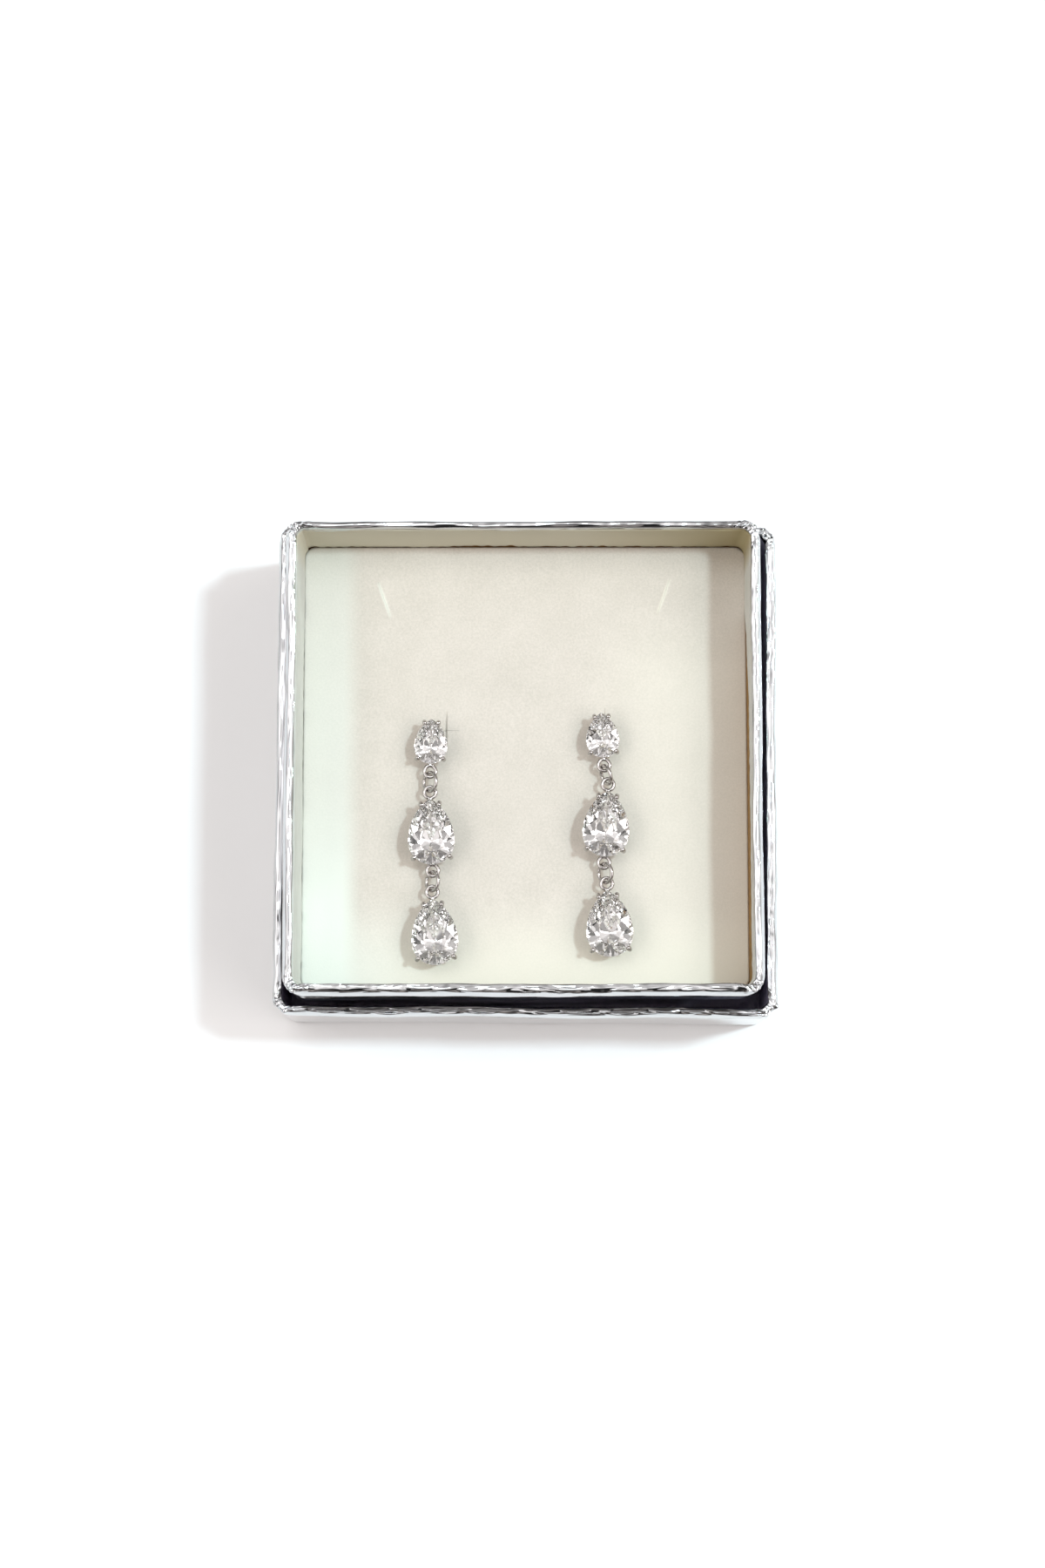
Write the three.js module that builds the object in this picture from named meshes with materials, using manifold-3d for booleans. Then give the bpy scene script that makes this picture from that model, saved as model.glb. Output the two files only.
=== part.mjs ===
// A pair of three-stone pear drop earrings lying in a two-piece gift box.
//
// The box is a square foil-covered board tray that stands in its own upturned lift-off lid. A foam pad fills
// the tray to well below its rim. Both earrings lie on the pad with their stones up, and their ear posts go
// down through it.
//
// Millimetres, +Z up, +X to the right and +Y to the back wall.
// The origin is the centre of the lid's underside.

import * as THREE from "three";
import { mergeVertices } from "three/addons/utils/BufferGeometryUtils.js";
import Module from "manifold-3d";

// ---------------------------------------------------------------- driving dimensions

const REST_GAP = 0.3; // between pieces that stand on each other
const SLIP_GAP = 0.15; // between the lining and the wall it is glued to
const SEAT_GAP = 0.12; // between a stone and its prongs

const LID = { width: 75.2, depth: 74.4, height: 26.2, wall: 0.9, floor: 1.5, corner: 1.4, turn: -0.35 };
const TRAY = { x: -0.4, y: 0.65, width: 70, depth: 70.3, height: 33.7, wall: 0.8, floor: 1.2, corner: 1.0 };
const LINING = { thickness: 0.25, belowRim: 1.3 };
const PAD = { x: -0.15, width: 67.2, depth: 67.6, belowRim: 13.1, corner: 2.0 };

// Slits in the pad: width across the cut, length along it and depth below the pad's face.
const NECKLACE_SLIT = { width: 0.4, length: 6.0, depth: 10, lean: 19.5 };
const POST_SLIT = { width: 0.4, length: 6.0, depth: 12 };
const POST_HOLE_RADIUS = 0.75;

// Stones: outline width and length, and heights of the part above, at and below the girdle.
const STONES = {
  small: { width: 5.0, length: 6.8, crown: 0.85, girdle: 0.2, pavilion: 2.1 },
  large: { width: 7.0, length: 10.0, crown: 1.15, girdle: 0.25, pavilion: 2.9 },
};
const TABLE_SCALE = 0.58; // table outline over girdle outline
const CULET_SCALE = 0.03;
const CULET_LIFT = 0.9; // lowest point of a stone above the pad's face

// Baskets: two pear-shaped wire rails, four prongs with a bead each, and soldered loops.
const WIRE = { rail: 0.27, loop: 0.23, ring: 0.23, neck: 0.23, post: 0.4 };
const PRONG = { small: { radius: 0.28, bead: 0.34 }, large: { radius: 0.33, bead: 0.4 } };
// A claw stands straight for this much above and below the girdle, and reaches this far in over the crown.
const CLAW = { straight: 0.1, lean: 0.12 };
const BASE_RAIL = { scale: 0.6, lift: 0.57 };
const GALLERY_RAIL = { scale: 0.85, lift: 2.25 };
const TIP_PRONG_SETBACK = 0.11; // from the tip, over the outline's length
const END_PRONG_ANGLE = 42; // below the widest line of the outline
const LOOP_RADIUS = 0.92; // to the middle of the wire
const TIP_LOOP_REACH = 1.1; // loop centre beyond the stone's tip
const STUD_LOOP_REACH = 1.1; // loop centre beyond the stud stone's round end
const END_LOOP_REACH = 0.75; // loop centre beyond the middle stone's round end
const POST_LENGTH = 10.5; // below the pad's face

// Jump rings: radius to the middle of the wire, and the cut where each was closed.
const JUMP_RING = { radius: 1.42, cutWidth: 0.16, cutAngle: 70 };

// Steps along each curve and sides around each round piece.
const FACETS = { stone: 24, rail: 20, claw: 5, loop: 16, ring: 20, wire: 6, post: 8, hole: 12, padCorner: 4 };

// Where each piece lies on the pad, from the tray's centre. A turn is anticlockwise from the tip pointing
// straight back. A ring's tilt is from lying flat, and its twist is away from the line between its two loops.
const EARRINGS = [
  {
    side: "left",
    stud: { x: -14.0, y: 3.4, turn: -1.8 },
    middle: { x: -13.9, y: -10.4, turn: 2.1 },
    drop: { x: -13.35, y: -25.5, turn: 3.6 },
    upperRing: { tilt: 48, twist: 0 },
    lowerRing: { tilt: 50, twist: 0 },
    postSlit: { x: -11.7, y: 5.5 },
    necklaceSlit: { x: -21.3, y: 25.7 },
  },
  {
    side: "right",
    stud: { x: 11.95, y: 4.35, turn: 3.0 },
    middle: { x: 12.45, y: -9.2, turn: -3.3 },
    drop: { x: 12.85, y: -24.25, turn: 2.9 },
    upperRing: { tilt: 66, twist: 8 },
    lowerRing: { tilt: 48, twist: 0 },
    postSlit: { x: 12.4, y: 6.0 },
    necklaceSlit: { x: 21.5, y: 26.3 },
  },
];

// ---------------------------------------------------------------- levels worked out from them

const TRAY_BASE = LID.floor + REST_GAP;
const TRAY_RIM = TRAY_BASE + TRAY.height;
const PAD_BASE = TRAY_BASE + TRAY.floor + REST_GAP;
const PAD_FACE = TRAY_RIM - PAD.belowRim;

const CENTRE = new THREE.Vector2();
const degrees = THREE.MathUtils.degToRad;

// ---------------------------------------------------------------- materials

const materials = {
  foil: new THREE.MeshStandardMaterial({ color: 0xd9dadd, roughness: 0.22, metalness: 0.9 }),
  lining: new THREE.MeshStandardMaterial({ color: 0xdcdccf, roughness: 0.8, metalness: 0 }),
  flock: new THREE.MeshStandardMaterial({ color: 0xe9e6da, roughness: 0.95, metalness: 0 }),
  plating: new THREE.MeshStandardMaterial({ color: 0xcfd0d2, roughness: 0.12, metalness: 1 }),
  zirconia: new THREE.MeshStandardMaterial({ color: 0xf4f6f8, roughness: 0.02, metalness: 0 }),
};

// ---------------------------------------------------------------- joining and cutting

const wasm = await Module();
wasm.setup();

function solid(geometry) {
  const bare = geometry.clone();
  bare.deleteAttribute("normal");
  bare.deleteAttribute("uv");
  const merged = mergeVertices(bare);
  const mesh = new wasm.Mesh({
    numProp: 3,
    vertProperties: new Float32Array(merged.attributes.position.array),
    triVerts: new Uint32Array(merged.index.array),
  });
  return new wasm.Manifold(mesh);
}

function geometryOf(manifold) {
  const mesh = manifold.getMesh();
  const geometry = new THREE.BufferGeometry();
  geometry.setAttribute("position", new THREE.Float32BufferAttribute(mesh.vertProperties, 3));
  geometry.setIndex(new THREE.Uint32BufferAttribute(mesh.triVerts, 1));
  geometry.computeVertexNormals();
  return geometry;
}

function joined(geometries) {
  return geometryOf(geometries.map(solid).reduce((whole, next) => whole.add(next)));
}

function cut(geometry, tools) {
  return geometryOf(tools.map(solid).reduce((whole, tool) => whole.subtract(tool), solid(geometry)));
}

function piece(name, geometry, material) {
  const mesh = new THREE.Mesh(geometry, material);
  mesh.name = name;
  return mesh;
}

// ---------------------------------------------------------------- box

// A rectangle about the origin with its corners cut off at 45 degrees.
function chamferedRectangle(width, depth, corner) {
  const x = width / 2;
  const y = depth / 2;
  return new THREE.Shape([
    new THREE.Vector2(x, y - corner),
    new THREE.Vector2(x - corner, y),
    new THREE.Vector2(corner - x, y),
    new THREE.Vector2(-x, y - corner),
    new THREE.Vector2(-x, corner - y),
    new THREE.Vector2(corner - x, -y),
    new THREE.Vector2(x - corner, -y),
    new THREE.Vector2(x, corner - y),
  ]);
}

function extruded(shape, bottom, top) {
  const settings = { depth: top - bottom, bevelEnabled: false, curveSegments: FACETS.padCorner };
  return new THREE.ExtrudeGeometry(shape, settings).translate(0, 0, bottom);
}

// An open-topped square shell that stands on bottom.
function boxShell({ width, depth, height, wall, floor, corner }, bottom) {
  const body = extruded(chamferedRectangle(width, depth, corner), bottom, bottom + height);
  const inside = chamferedRectangle(width - 2 * wall, depth - 2 * wall, corner);
  return cut(body, [extruded(inside, bottom + floor, bottom + height + 1)]);
}

// A closed band that follows the tray's walls from just above the pad to just below the rim.
function liningBand() {
  const outside = TRAY.wall + SLIP_GAP;
  const inside = outside + LINING.thickness;
  const band = chamferedRectangle(TRAY.width - 2 * outside, TRAY.depth - 2 * outside, TRAY.corner);
  band.holes.push(chamferedRectangle(TRAY.width - 2 * inside, TRAY.depth - 2 * inside, TRAY.corner));
  return extruded(band, PAD_FACE + REST_GAP, TRAY_RIM - LINING.belowRim);
}

// A rectangle about the origin with round corners.
function roundedRectangle(width, depth, radius) {
  const x = width / 2 - radius;
  const y = depth / 2 - radius;
  const shape = new THREE.Shape();
  shape.absarc(x, y, radius, 0, Math.PI / 2);
  shape.absarc(-x, y, radius, Math.PI / 2, Math.PI);
  shape.absarc(-x, -y, radius, Math.PI, 1.5 * Math.PI);
  shape.absarc(x, -y, radius, 1.5 * Math.PI, 2 * Math.PI);
  return shape;
}

// A straight knife cut in the pad, centred on (x, y). Its turn is anticlockwise from running front to back.
function slit({ width, length, depth }, { x, y }, turn) {
  const blade = new THREE.BoxGeometry(width, length, 2 * depth);
  return blade.rotateZ(degrees(turn)).translate(x, y, PAD_FACE);
}

function postHole(post) {
  const depth = 2 * (POST_LENGTH + 1);
  const drill = new THREE.CylinderGeometry(POST_HOLE_RADIUS, POST_HOLE_RADIUS, depth, FACETS.hole);
  return drill.rotateX(Math.PI / 2).translate(post.x, post.y, PAD_FACE);
}

function slitPad() {
  const body = extruded(roundedRectangle(PAD.width, PAD.depth, PAD.corner), PAD_BASE, PAD_FACE);
  const cuts = EARRINGS.flatMap((earring) => [
    slit(NECKLACE_SLIT, earring.necklaceSlit, -Math.sign(earring.stud.x) * NECKLACE_SLIT.lean),
    slit(POST_SLIT, earring.postSlit, 0),
    slit(POST_SLIT, earring.postSlit, 90),
    postHole(onPad(earring.stud, 0, postOffset())),
  ]);
  return cut(body.translate(PAD.x, 0, 0), cuts);
}

// ---------------------------------------------------------------- pear outlines and stones

// A pear outline, tip towards +Y, centred on the middle of its length. A half circle makes the round end, and
// two arcs that leave its widest points straight up meet in the tip. scale shrinks it about the centre of the
// half circle, its heart.
function pear({ width, length }) {
  const endRadius = width / 2;
  const heart = endRadius - length / 2;
  const rise = length - endRadius;
  const sideRadius = (rise * rise + endRadius * endRadius) / (2 * endRadius);
  const sideAngle = Math.asin(rise / sideRadius);
  const sidePoint = (angle, sign) => new THREE.Vector2(
    sign * (endRadius - sideRadius + sideRadius * Math.cos(angle)),
    heart + sideRadius * Math.sin(angle),
  );
  const endPoint = (angle) => new THREE.Vector2(
    endRadius * Math.cos(angle),
    heart + endRadius * Math.sin(angle),
  );
  // t runs anticlockwise from the widest point on the right: up to the tip, down the left, round the end.
  const at = (t) => {
    if (t < 0.25) {
      return sidePoint(4 * t * sideAngle, 1);
    }
    if (t < 0.5) {
      return sidePoint((2 - 4 * t) * sideAngle, -1);
    }
    return endPoint(2 * Math.PI * t);
  };
  const scaled = (point, scale, about = heart) => new THREE.Vector2(
    point.x * scale,
    about + (point.y - about) * scale,
  );
  return { endRadius, heart, rise, sideRadius, at, endPoint, scaled };
}

// A closed body through level outlines, each a list of the same number of points, with fans over both ends.
function lofted(layers) {
  const count = layers[0].length;
  const positions = layers.flat().flatMap((point) => [point.x, point.y, point.z]);
  const index = [];
  for (let layer = 0; layer + 1 < layers.length; layer += 1) {
    for (let i = 0; i < count; i += 1) {
      const a = layer * count + i;
      const b = layer * count + ((i + 1) % count);
      index.push(a, b, b + count, a, b + count, a + count);
    }
  }
  const top = (layers.length - 1) * count;
  for (let i = 1; i + 1 < count; i += 1) {
    index.push(0, i + 1, i);
    index.push(top, top + i, top + i + 1);
  }
  const geometry = new THREE.BufferGeometry();
  geometry.setAttribute("position", new THREE.Float32BufferAttribute(positions, 3));
  geometry.setIndex(index);
  geometry.computeVertexNormals();
  return geometry;
}

const girdleBase = (stone) => CULET_LIFT + stone.pavilion;

function stoneGeometry(stone) {
  const outline = pear(stone);
  const layer = (scale, z, about) => Array.from({ length: FACETS.stone }, (_, i) => {
    const point = outline.scaled(outline.at(i / FACETS.stone), scale, about);
    return new THREE.Vector3(point.x, point.y, z);
  });
  const girdle = girdleBase(stone);
  return lofted([
    layer(CULET_SCALE, CULET_LIFT),
    layer(1, girdle),
    layer(1, girdle + stone.girdle),
    layer(TABLE_SCALE, girdle + stone.girdle + stone.crown, outline.heart / 2),
  ]);
}

// ---------------------------------------------------------------- baskets

class PearWire extends THREE.Curve {
  constructor(outline, scale, z) {
    super();
    this.outline = outline;
    this.scale = scale;
    this.z = z;
  }

  getPoint(t) {
    const point = this.outline.scaled(this.outline.at(t % 1), this.scale);
    return new THREE.Vector3(point.x, point.y, this.z);
  }
}

// A wire of one thickness with flat ends.
function wire(curve, radius, steps) {
  const corner = (_, i) => new THREE.Vector2(radius, 0).rotateAround(CENTRE, (2 * Math.PI * i) / FACETS.wire);
  const section = new THREE.Shape(Array.from({ length: FACETS.wire }, corner));
  return new THREE.ExtrudeGeometry(section, { extrudePath: curve, steps, bevelEnabled: false });
}

function rail(outline, { scale, lift }) {
  const path = new PearWire(outline, scale, lift);
  return new THREE.TubeGeometry(path, FACETS.rail, WIRE.rail, FACETS.wire, true);
}

// The prong's claw stands just outside the girdle and bends in over the crown to its bead.
function prong(stone, size, outline, root) {
  const { radius, bead } = PRONG[size];
  const heart = new THREE.Vector2(0, outline.heart);
  const outward = root.clone().sub(heart).normalize();
  const girdle = girdleBase(stone);
  const crownSlope = stone.crown / (outline.endRadius * (1 - TABLE_SCALE));
  const stand = radius + SEAT_GAP;
  const beadLift = stone.girdle + CLAW.lean * crownSlope + (bead + SEAT_GAP) * Math.hypot(1, crownSlope);
  const at = (reach, z) => new THREE.Vector3(root.x + outward.x * reach, root.y + outward.y * reach, z);
  const foot = outline.scaled(root, BASE_RAIL.scale);
  const tip = at(-CLAW.lean, girdle + beadLift);
  const claw = new THREE.CatmullRomCurve3([
    new THREE.Vector3(foot.x, foot.y, BASE_RAIL.lift),
    at(stand, girdle - CLAW.straight),
    at(stand, girdle + stone.girdle + CLAW.straight),
    tip,
  ]);
  const ball = new THREE.SphereGeometry(bead, FACETS.wire, FACETS.wire - 2);
  ball.rotateX(Math.PI / 2).translate(tip.x, tip.y, tip.z);
  return [wire(claw, radius, FACETS.claw), ball];
}

// Where the four prongs stand on the outline: two beside the tip and two at the round end.
function prongRoots(stone, outline) {
  const y = stone.length * (0.5 - TIP_PRONG_SETBACK);
  const { endRadius, sideRadius, heart } = outline;
  const x = endRadius - sideRadius + Math.sqrt(sideRadius ** 2 - (y - heart) ** 2);
  const turn = degrees(END_PRONG_ANGLE);
  return [
    new THREE.Vector2(x, y),
    new THREE.Vector2(-x, y),
    outline.endPoint(-turn),
    outline.endPoint(Math.PI + turn),
  ];
}

// A flat soldered loop centred at y on the basket's axis, with a short neck to the gallery rail.
function loop(outline, y) {
  const side = Math.sign(y);
  const railReach = (side > 0 ? outline.rise : outline.endRadius) * GALLERY_RAIL.scale;
  const railY = outline.heart + side * railReach;
  const nearY = y - side * LOOP_RADIUS;
  const neckLength = Math.abs(nearY - railY) + WIRE.neck;
  const neck = new THREE.CylinderGeometry(WIRE.neck, WIRE.neck, neckLength, FACETS.wire);
  neck.translate(0, (nearY + railY) / 2, GALLERY_RAIL.lift);
  const ring = new THREE.TorusGeometry(LOOP_RADIUS, WIRE.loop, FACETS.wire, FACETS.loop);
  ring.rotateZ(Math.PI / FACETS.loop).translate(0, y, GALLERY_RAIL.lift);
  return [ring, neck];
}

// The ear post stands on the tip of the stud's base rail.
function postOffset() {
  const outline = pear(STONES.small);
  return outline.heart + outline.rise * BASE_RAIL.scale;
}

function earPost() {
  const length = POST_LENGTH + BASE_RAIL.lift;
  const shaft = new THREE.CylinderGeometry(WIRE.post, WIRE.post, length, FACETS.post);
  shaft.rotateX(Math.PI / 2);
  return shaft.translate(0, postOffset(), (BASE_RAIL.lift - POST_LENGTH) / 2);
}

function settingGeometry(size, loopPlaces, extras = []) {
  const stone = STONES[size];
  const outline = pear(stone);
  return joined([
    rail(outline, BASE_RAIL),
    rail(outline, GALLERY_RAIL),
    ...prongRoots(stone, outline).flatMap((root) => prong(stone, size, outline, root)),
    ...loopPlaces.flatMap((y) => loop(outline, y)),
    ...extras,
  ]);
}

// ---------------------------------------------------------------- jump rings

class OpenRing extends THREE.Curve {
  constructor({ radius, cutWidth, cutAngle }) {
    super();
    this.radius = radius;
    this.cut = cutWidth / radius;
    this.start = degrees(cutAngle) + this.cut / 2;
  }

  getPoint(t) {
    const angle = this.start + t * (2 * Math.PI - this.cut);
    return new THREE.Vector3(this.radius * Math.cos(angle), this.radius * Math.sin(angle), 0);
  }
}

// The ring stands through loops a and b. Its own X axis runs from one to the other, and it tilts about that.
function jumpRing(name, a, b, { tilt, twist }) {
  const ring = piece(name, wire(new OpenRing(JUMP_RING), WIRE.ring, FACETS.ring), materials.plating);
  const heading = Math.atan2(b.y - a.y, b.x - a.x) + degrees(twist);
  ring.position.set((a.x + b.x) / 2, (a.y + b.y) / 2, PAD_FACE + GALLERY_RAIL.lift);
  ring.rotation.set(degrees(tilt), 0, heading, "ZYX");
  return ring;
}

// ---------------------------------------------------------------- earrings

const LOOPS = {
  studEnd: -STONES.small.length / 2 - STUD_LOOP_REACH,
  tip: STONES.large.length / 2 + TIP_LOOP_REACH,
  middleEnd: -STONES.large.length / 2 - END_LOOP_REACH,
};

// A point given in a piece's own axes, on the pad.
function onPad({ x, y, turn }, localX, localY) {
  const point = new THREE.Vector2(localX, localY).rotateAround(CENTRE, degrees(turn));
  return point.add(new THREE.Vector2(x, y));
}

function placed(mesh, { x, y, turn }) {
  mesh.position.set(x, y, PAD_FACE);
  mesh.rotation.z = degrees(turn);
  return mesh;
}

function earring({ side, stud, middle, drop, upperRing, lowerRing }) {
  const group = new THREE.Group();
  const setting = (name, size, loops, place, extras) => placed(
    piece(`${side}_${name}_setting`, settingGeometry(size, loops, extras), materials.plating),
    place,
  );
  const stone = (name, size, place) => placed(
    piece(`${side}_${name}_stone`, stoneGeometry(STONES[size]), materials.zirconia),
    place,
  );
  group.add(
    setting("stud", "small", [LOOPS.studEnd], stud, [earPost()]),
    stone("stud", "small", stud),
    jumpRing(`${side}_upper_link`, onPad(stud, 0, LOOPS.studEnd), onPad(middle, 0, LOOPS.tip), upperRing),
    setting("middle", "large", [LOOPS.tip, LOOPS.middleEnd], middle),
    stone("middle", "large", middle),
    jumpRing(`${side}_lower_link`, onPad(middle, 0, LOOPS.middleEnd), onPad(drop, 0, LOOPS.tip), lowerRing),
    setting("drop", "large", [LOOPS.tip], drop),
    stone("drop", "large", drop),
  );
  return group;
}

// ---------------------------------------------------------------- assembly

const lid = piece("lid_shell", boxShell(LID, 0), materials.foil);
lid.rotation.z = degrees(LID.turn);

const tray = new THREE.Group();
tray.position.set(TRAY.x, TRAY.y, 0);
tray.add(
  piece("tray_shell", boxShell(TRAY, TRAY_BASE), materials.foil),
  piece("tray_lining", liningBand(), materials.lining),
  piece("pad", slitPad(), materials.flock),
  ...EARRINGS.map(earring),
);

const giftBox = new THREE.Group();
giftBox.add(lid, tray);

export default giftBox;
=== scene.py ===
import itertools

import bpy
import numpy as np
from mathutils import Matrix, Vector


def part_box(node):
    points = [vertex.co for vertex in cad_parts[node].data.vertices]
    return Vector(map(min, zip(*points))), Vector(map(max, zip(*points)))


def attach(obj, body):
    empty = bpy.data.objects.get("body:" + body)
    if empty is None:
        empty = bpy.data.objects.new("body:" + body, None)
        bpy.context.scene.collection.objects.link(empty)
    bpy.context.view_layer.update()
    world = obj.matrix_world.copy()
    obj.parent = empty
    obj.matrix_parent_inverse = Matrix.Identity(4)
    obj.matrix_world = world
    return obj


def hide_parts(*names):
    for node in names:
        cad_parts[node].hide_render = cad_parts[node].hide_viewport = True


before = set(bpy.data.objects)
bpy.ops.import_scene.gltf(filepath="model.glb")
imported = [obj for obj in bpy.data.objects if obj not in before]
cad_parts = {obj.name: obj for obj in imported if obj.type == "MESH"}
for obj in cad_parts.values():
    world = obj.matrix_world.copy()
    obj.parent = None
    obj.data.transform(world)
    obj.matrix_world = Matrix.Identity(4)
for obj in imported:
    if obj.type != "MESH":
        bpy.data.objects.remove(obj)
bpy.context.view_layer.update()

# Lengths in this script are millimetres, and become metres when a mesh or a position is handed to Blender.
MM = 0.001
ACROSS = np.array([1.0, 0.0, 0.0])
UP = np.array([0.0, 0.0, 1.0])


def box_mm(node):
    """Lowest and highest corner of a CAD node, in millimetres."""
    low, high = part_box(node)
    return np.array(low) / MM, np.array(high) / MM


def node_points(node):
    """Every vertex of a CAD node, in millimetres, as one array."""
    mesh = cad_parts[node].data
    flat = np.empty(3 * len(mesh.vertices))
    mesh.vertices.foreach_get("co", flat)
    return flat.reshape(-1, 3) / MM


# ------------------------------------------------------------------ places read from the frame

TRAY_LOW, TRAY_HIGH = box_mm("tray_shell")
LID_LOW, LID_HIGH = box_mm("lid_shell")
PAD_LOW, PAD_HIGH = box_mm("pad")
TRAY_CENTRE = (TRAY_LOW + TRAY_HIGH) / 2
PAD_FACE = PAD_HIGH[2]
RIM = TRAY_HIGH[2]
SIDES = ("left", "right")


# ------------------------------------------------------------------ colours and materials

# A Mix node's colour sockets: its first and second colours, and the mixed one that comes out.
FIRST, SECOND, MIXED = 6, 7, 2


def linear(code):
    """A hex sRGB colour as linear RGBA: a channel c is c / 12.92 if small, else ((c + 0.055) / 1.055)^2.4."""
    srgb = np.array([int(code[i:i + 2], 16) for i in (1, 3, 5)]) / 255
    rgb = np.where(srgb <= 0.04045, srgb / 12.92, ((srgb + 0.055) / 1.055) ** 2.4)
    return (*(float(c) for c in rgb), 1.0)


def give(tree, made, settings=None, links=None):
    """Gives a shader node its settings, which are its own properties or input values by socket name or
    number, and its links, which join an input to another node's output socket."""
    for key, value in (settings or {}).items():
        if isinstance(key, int) or key in made.inputs:
            made.inputs[key].default_value = value
        else:
            setattr(made, key, value)
    for key, socket in (links or {}).items():
        tree.links.new(socket, made.inputs[key])


def node(tree, kind, settings=None, links=None):
    """Adds one shader node with its settings and links."""
    made = tree.nodes.new(kind)
    give(tree, made, settings, links)
    return made


def new_material(name):
    """An empty node material, with its tree and a Principled shader already joined to the output."""
    material = bpy.data.materials.new(name)
    material.use_nodes = True
    tree = material.node_tree
    tree.nodes.clear()
    shader = node(tree, "ShaderNodeBsdfPrincipled")
    node(tree, "ShaderNodeOutputMaterial", links={"Surface": shader.outputs["BSDF"]})
    return material, tree, shader


def per_mm(size):
    """Noise scale on Object coordinates, which are metres, for features of this size in millimetres."""
    return 1.0 / (size * MM)


def silver_foil():
    """Metallised foil paper, glued round board by hand: a near mirror of vacuum-coated aluminium, which
    keeps a soft orange-peel from the board under it and creases where it was pulled round an edge. The
    folded corners are crushed to small facets, as deep as the piece's crumple attribute says."""
    material, tree, shader = new_material("silver_foil_paper")
    place = node(tree, "ShaderNodeTexCoord").outputs["Object"]
    peel = node(tree, "ShaderNodeTexNoise", {"Scale": per_mm(1.6), "Detail": 3.0, "Roughness": 0.55},
                {"Vector": place})
    crease = node(tree, "ShaderNodeTexVoronoi", {"feature": "DISTANCE_TO_EDGE", "Scale": per_mm(4.5)},
                  {"Vector": place})
    crease_edge = node(tree, "ShaderNodeMapRange",
                       {"From Min": 0.0, "From Max": 0.05, "To Min": 1.0, "To Max": 0.0},
                       {"Value": crease.outputs["Distance"]})
    relief = node(tree, "ShaderNodeMath", {"operation": "MULTIPLY_ADD", 1: 0.12},
                  {0: crease_edge.outputs["Result"], 2: peel.outputs["Fac"]})
    facet = node(tree, "ShaderNodeTexVoronoi", {"Scale": per_mm(0.8)}, {"Vector": place})
    crumple = node(tree, "ShaderNodeAttribute", {"attribute_name": "crumple"})
    crushed = node(tree, "ShaderNodeMath", {"operation": "MULTIPLY"},
                   {0: crumple.outputs["Fac"], 1: facet.outputs["Distance"]})
    relief = node(tree, "ShaderNodeMath", {"operation": "MULTIPLY_ADD", 1: 24.0},
                  {0: crushed.outputs[0], 2: relief.outputs[0]})
    bump = node(tree, "ShaderNodeBump", {"Strength": 0.06, "Distance": 0.05 * MM},
                {"Height": relief.outputs[0]})
    haze = node(tree, "ShaderNodeTexNoise", {"Scale": per_mm(6.0), "Detail": 2.0}, {"Vector": place})
    rough = node(tree, "ShaderNodeMapRange",
                 {"From Min": 0.3, "From Max": 0.7, "To Min": 0.05, "To Max": 0.12},
                 {"Value": haze.outputs["Fac"]})
    tint = node(tree, "ShaderNodeMix",
                {"data_type": "RGBA", FIRST: linear("#C3C5C8"), SECOND: linear("#D2D4D6")},
                {0: haze.outputs["Fac"]})
    give(tree, shader, {"Metallic": 1.0},
         {"Base Color": tint.outputs[MIXED], "Roughness": rough.outputs["Result"],
          "Normal": bump.outputs["Normal"]})
    return material


def raw_board(name, dark, light):
    """Uncoated greyboard, rolled from recycled pulp: matt, with short fibres lying in every direction."""
    material, tree, shader = new_material(name)
    place = node(tree, "ShaderNodeTexCoord").outputs["Object"]
    fibre = node(tree, "ShaderNodeTexNoise", {"Scale": per_mm(0.9), "Detail": 5.0, "Roughness": 0.7},
                 {"Vector": place})
    spread = node(tree, "ShaderNodeMapRange", {"From Min": 0.3, "From Max": 0.7},
                  {"Value": fibre.outputs["Fac"]})
    pulp = node(tree, "ShaderNodeMix", {"data_type": "RGBA", FIRST: linear(dark), SECOND: linear(light)},
                {0: spread.outputs["Result"]})
    bump = node(tree, "ShaderNodeBump", {"Strength": 0.5, "Distance": 0.06 * MM},
                {"Height": fibre.outputs["Fac"]})
    give(tree, shader, {"Roughness": 0.9},
         {"Base Color": pulp.outputs[MIXED], "Normal": bump.outputs["Normal"]})
    return material


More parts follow.
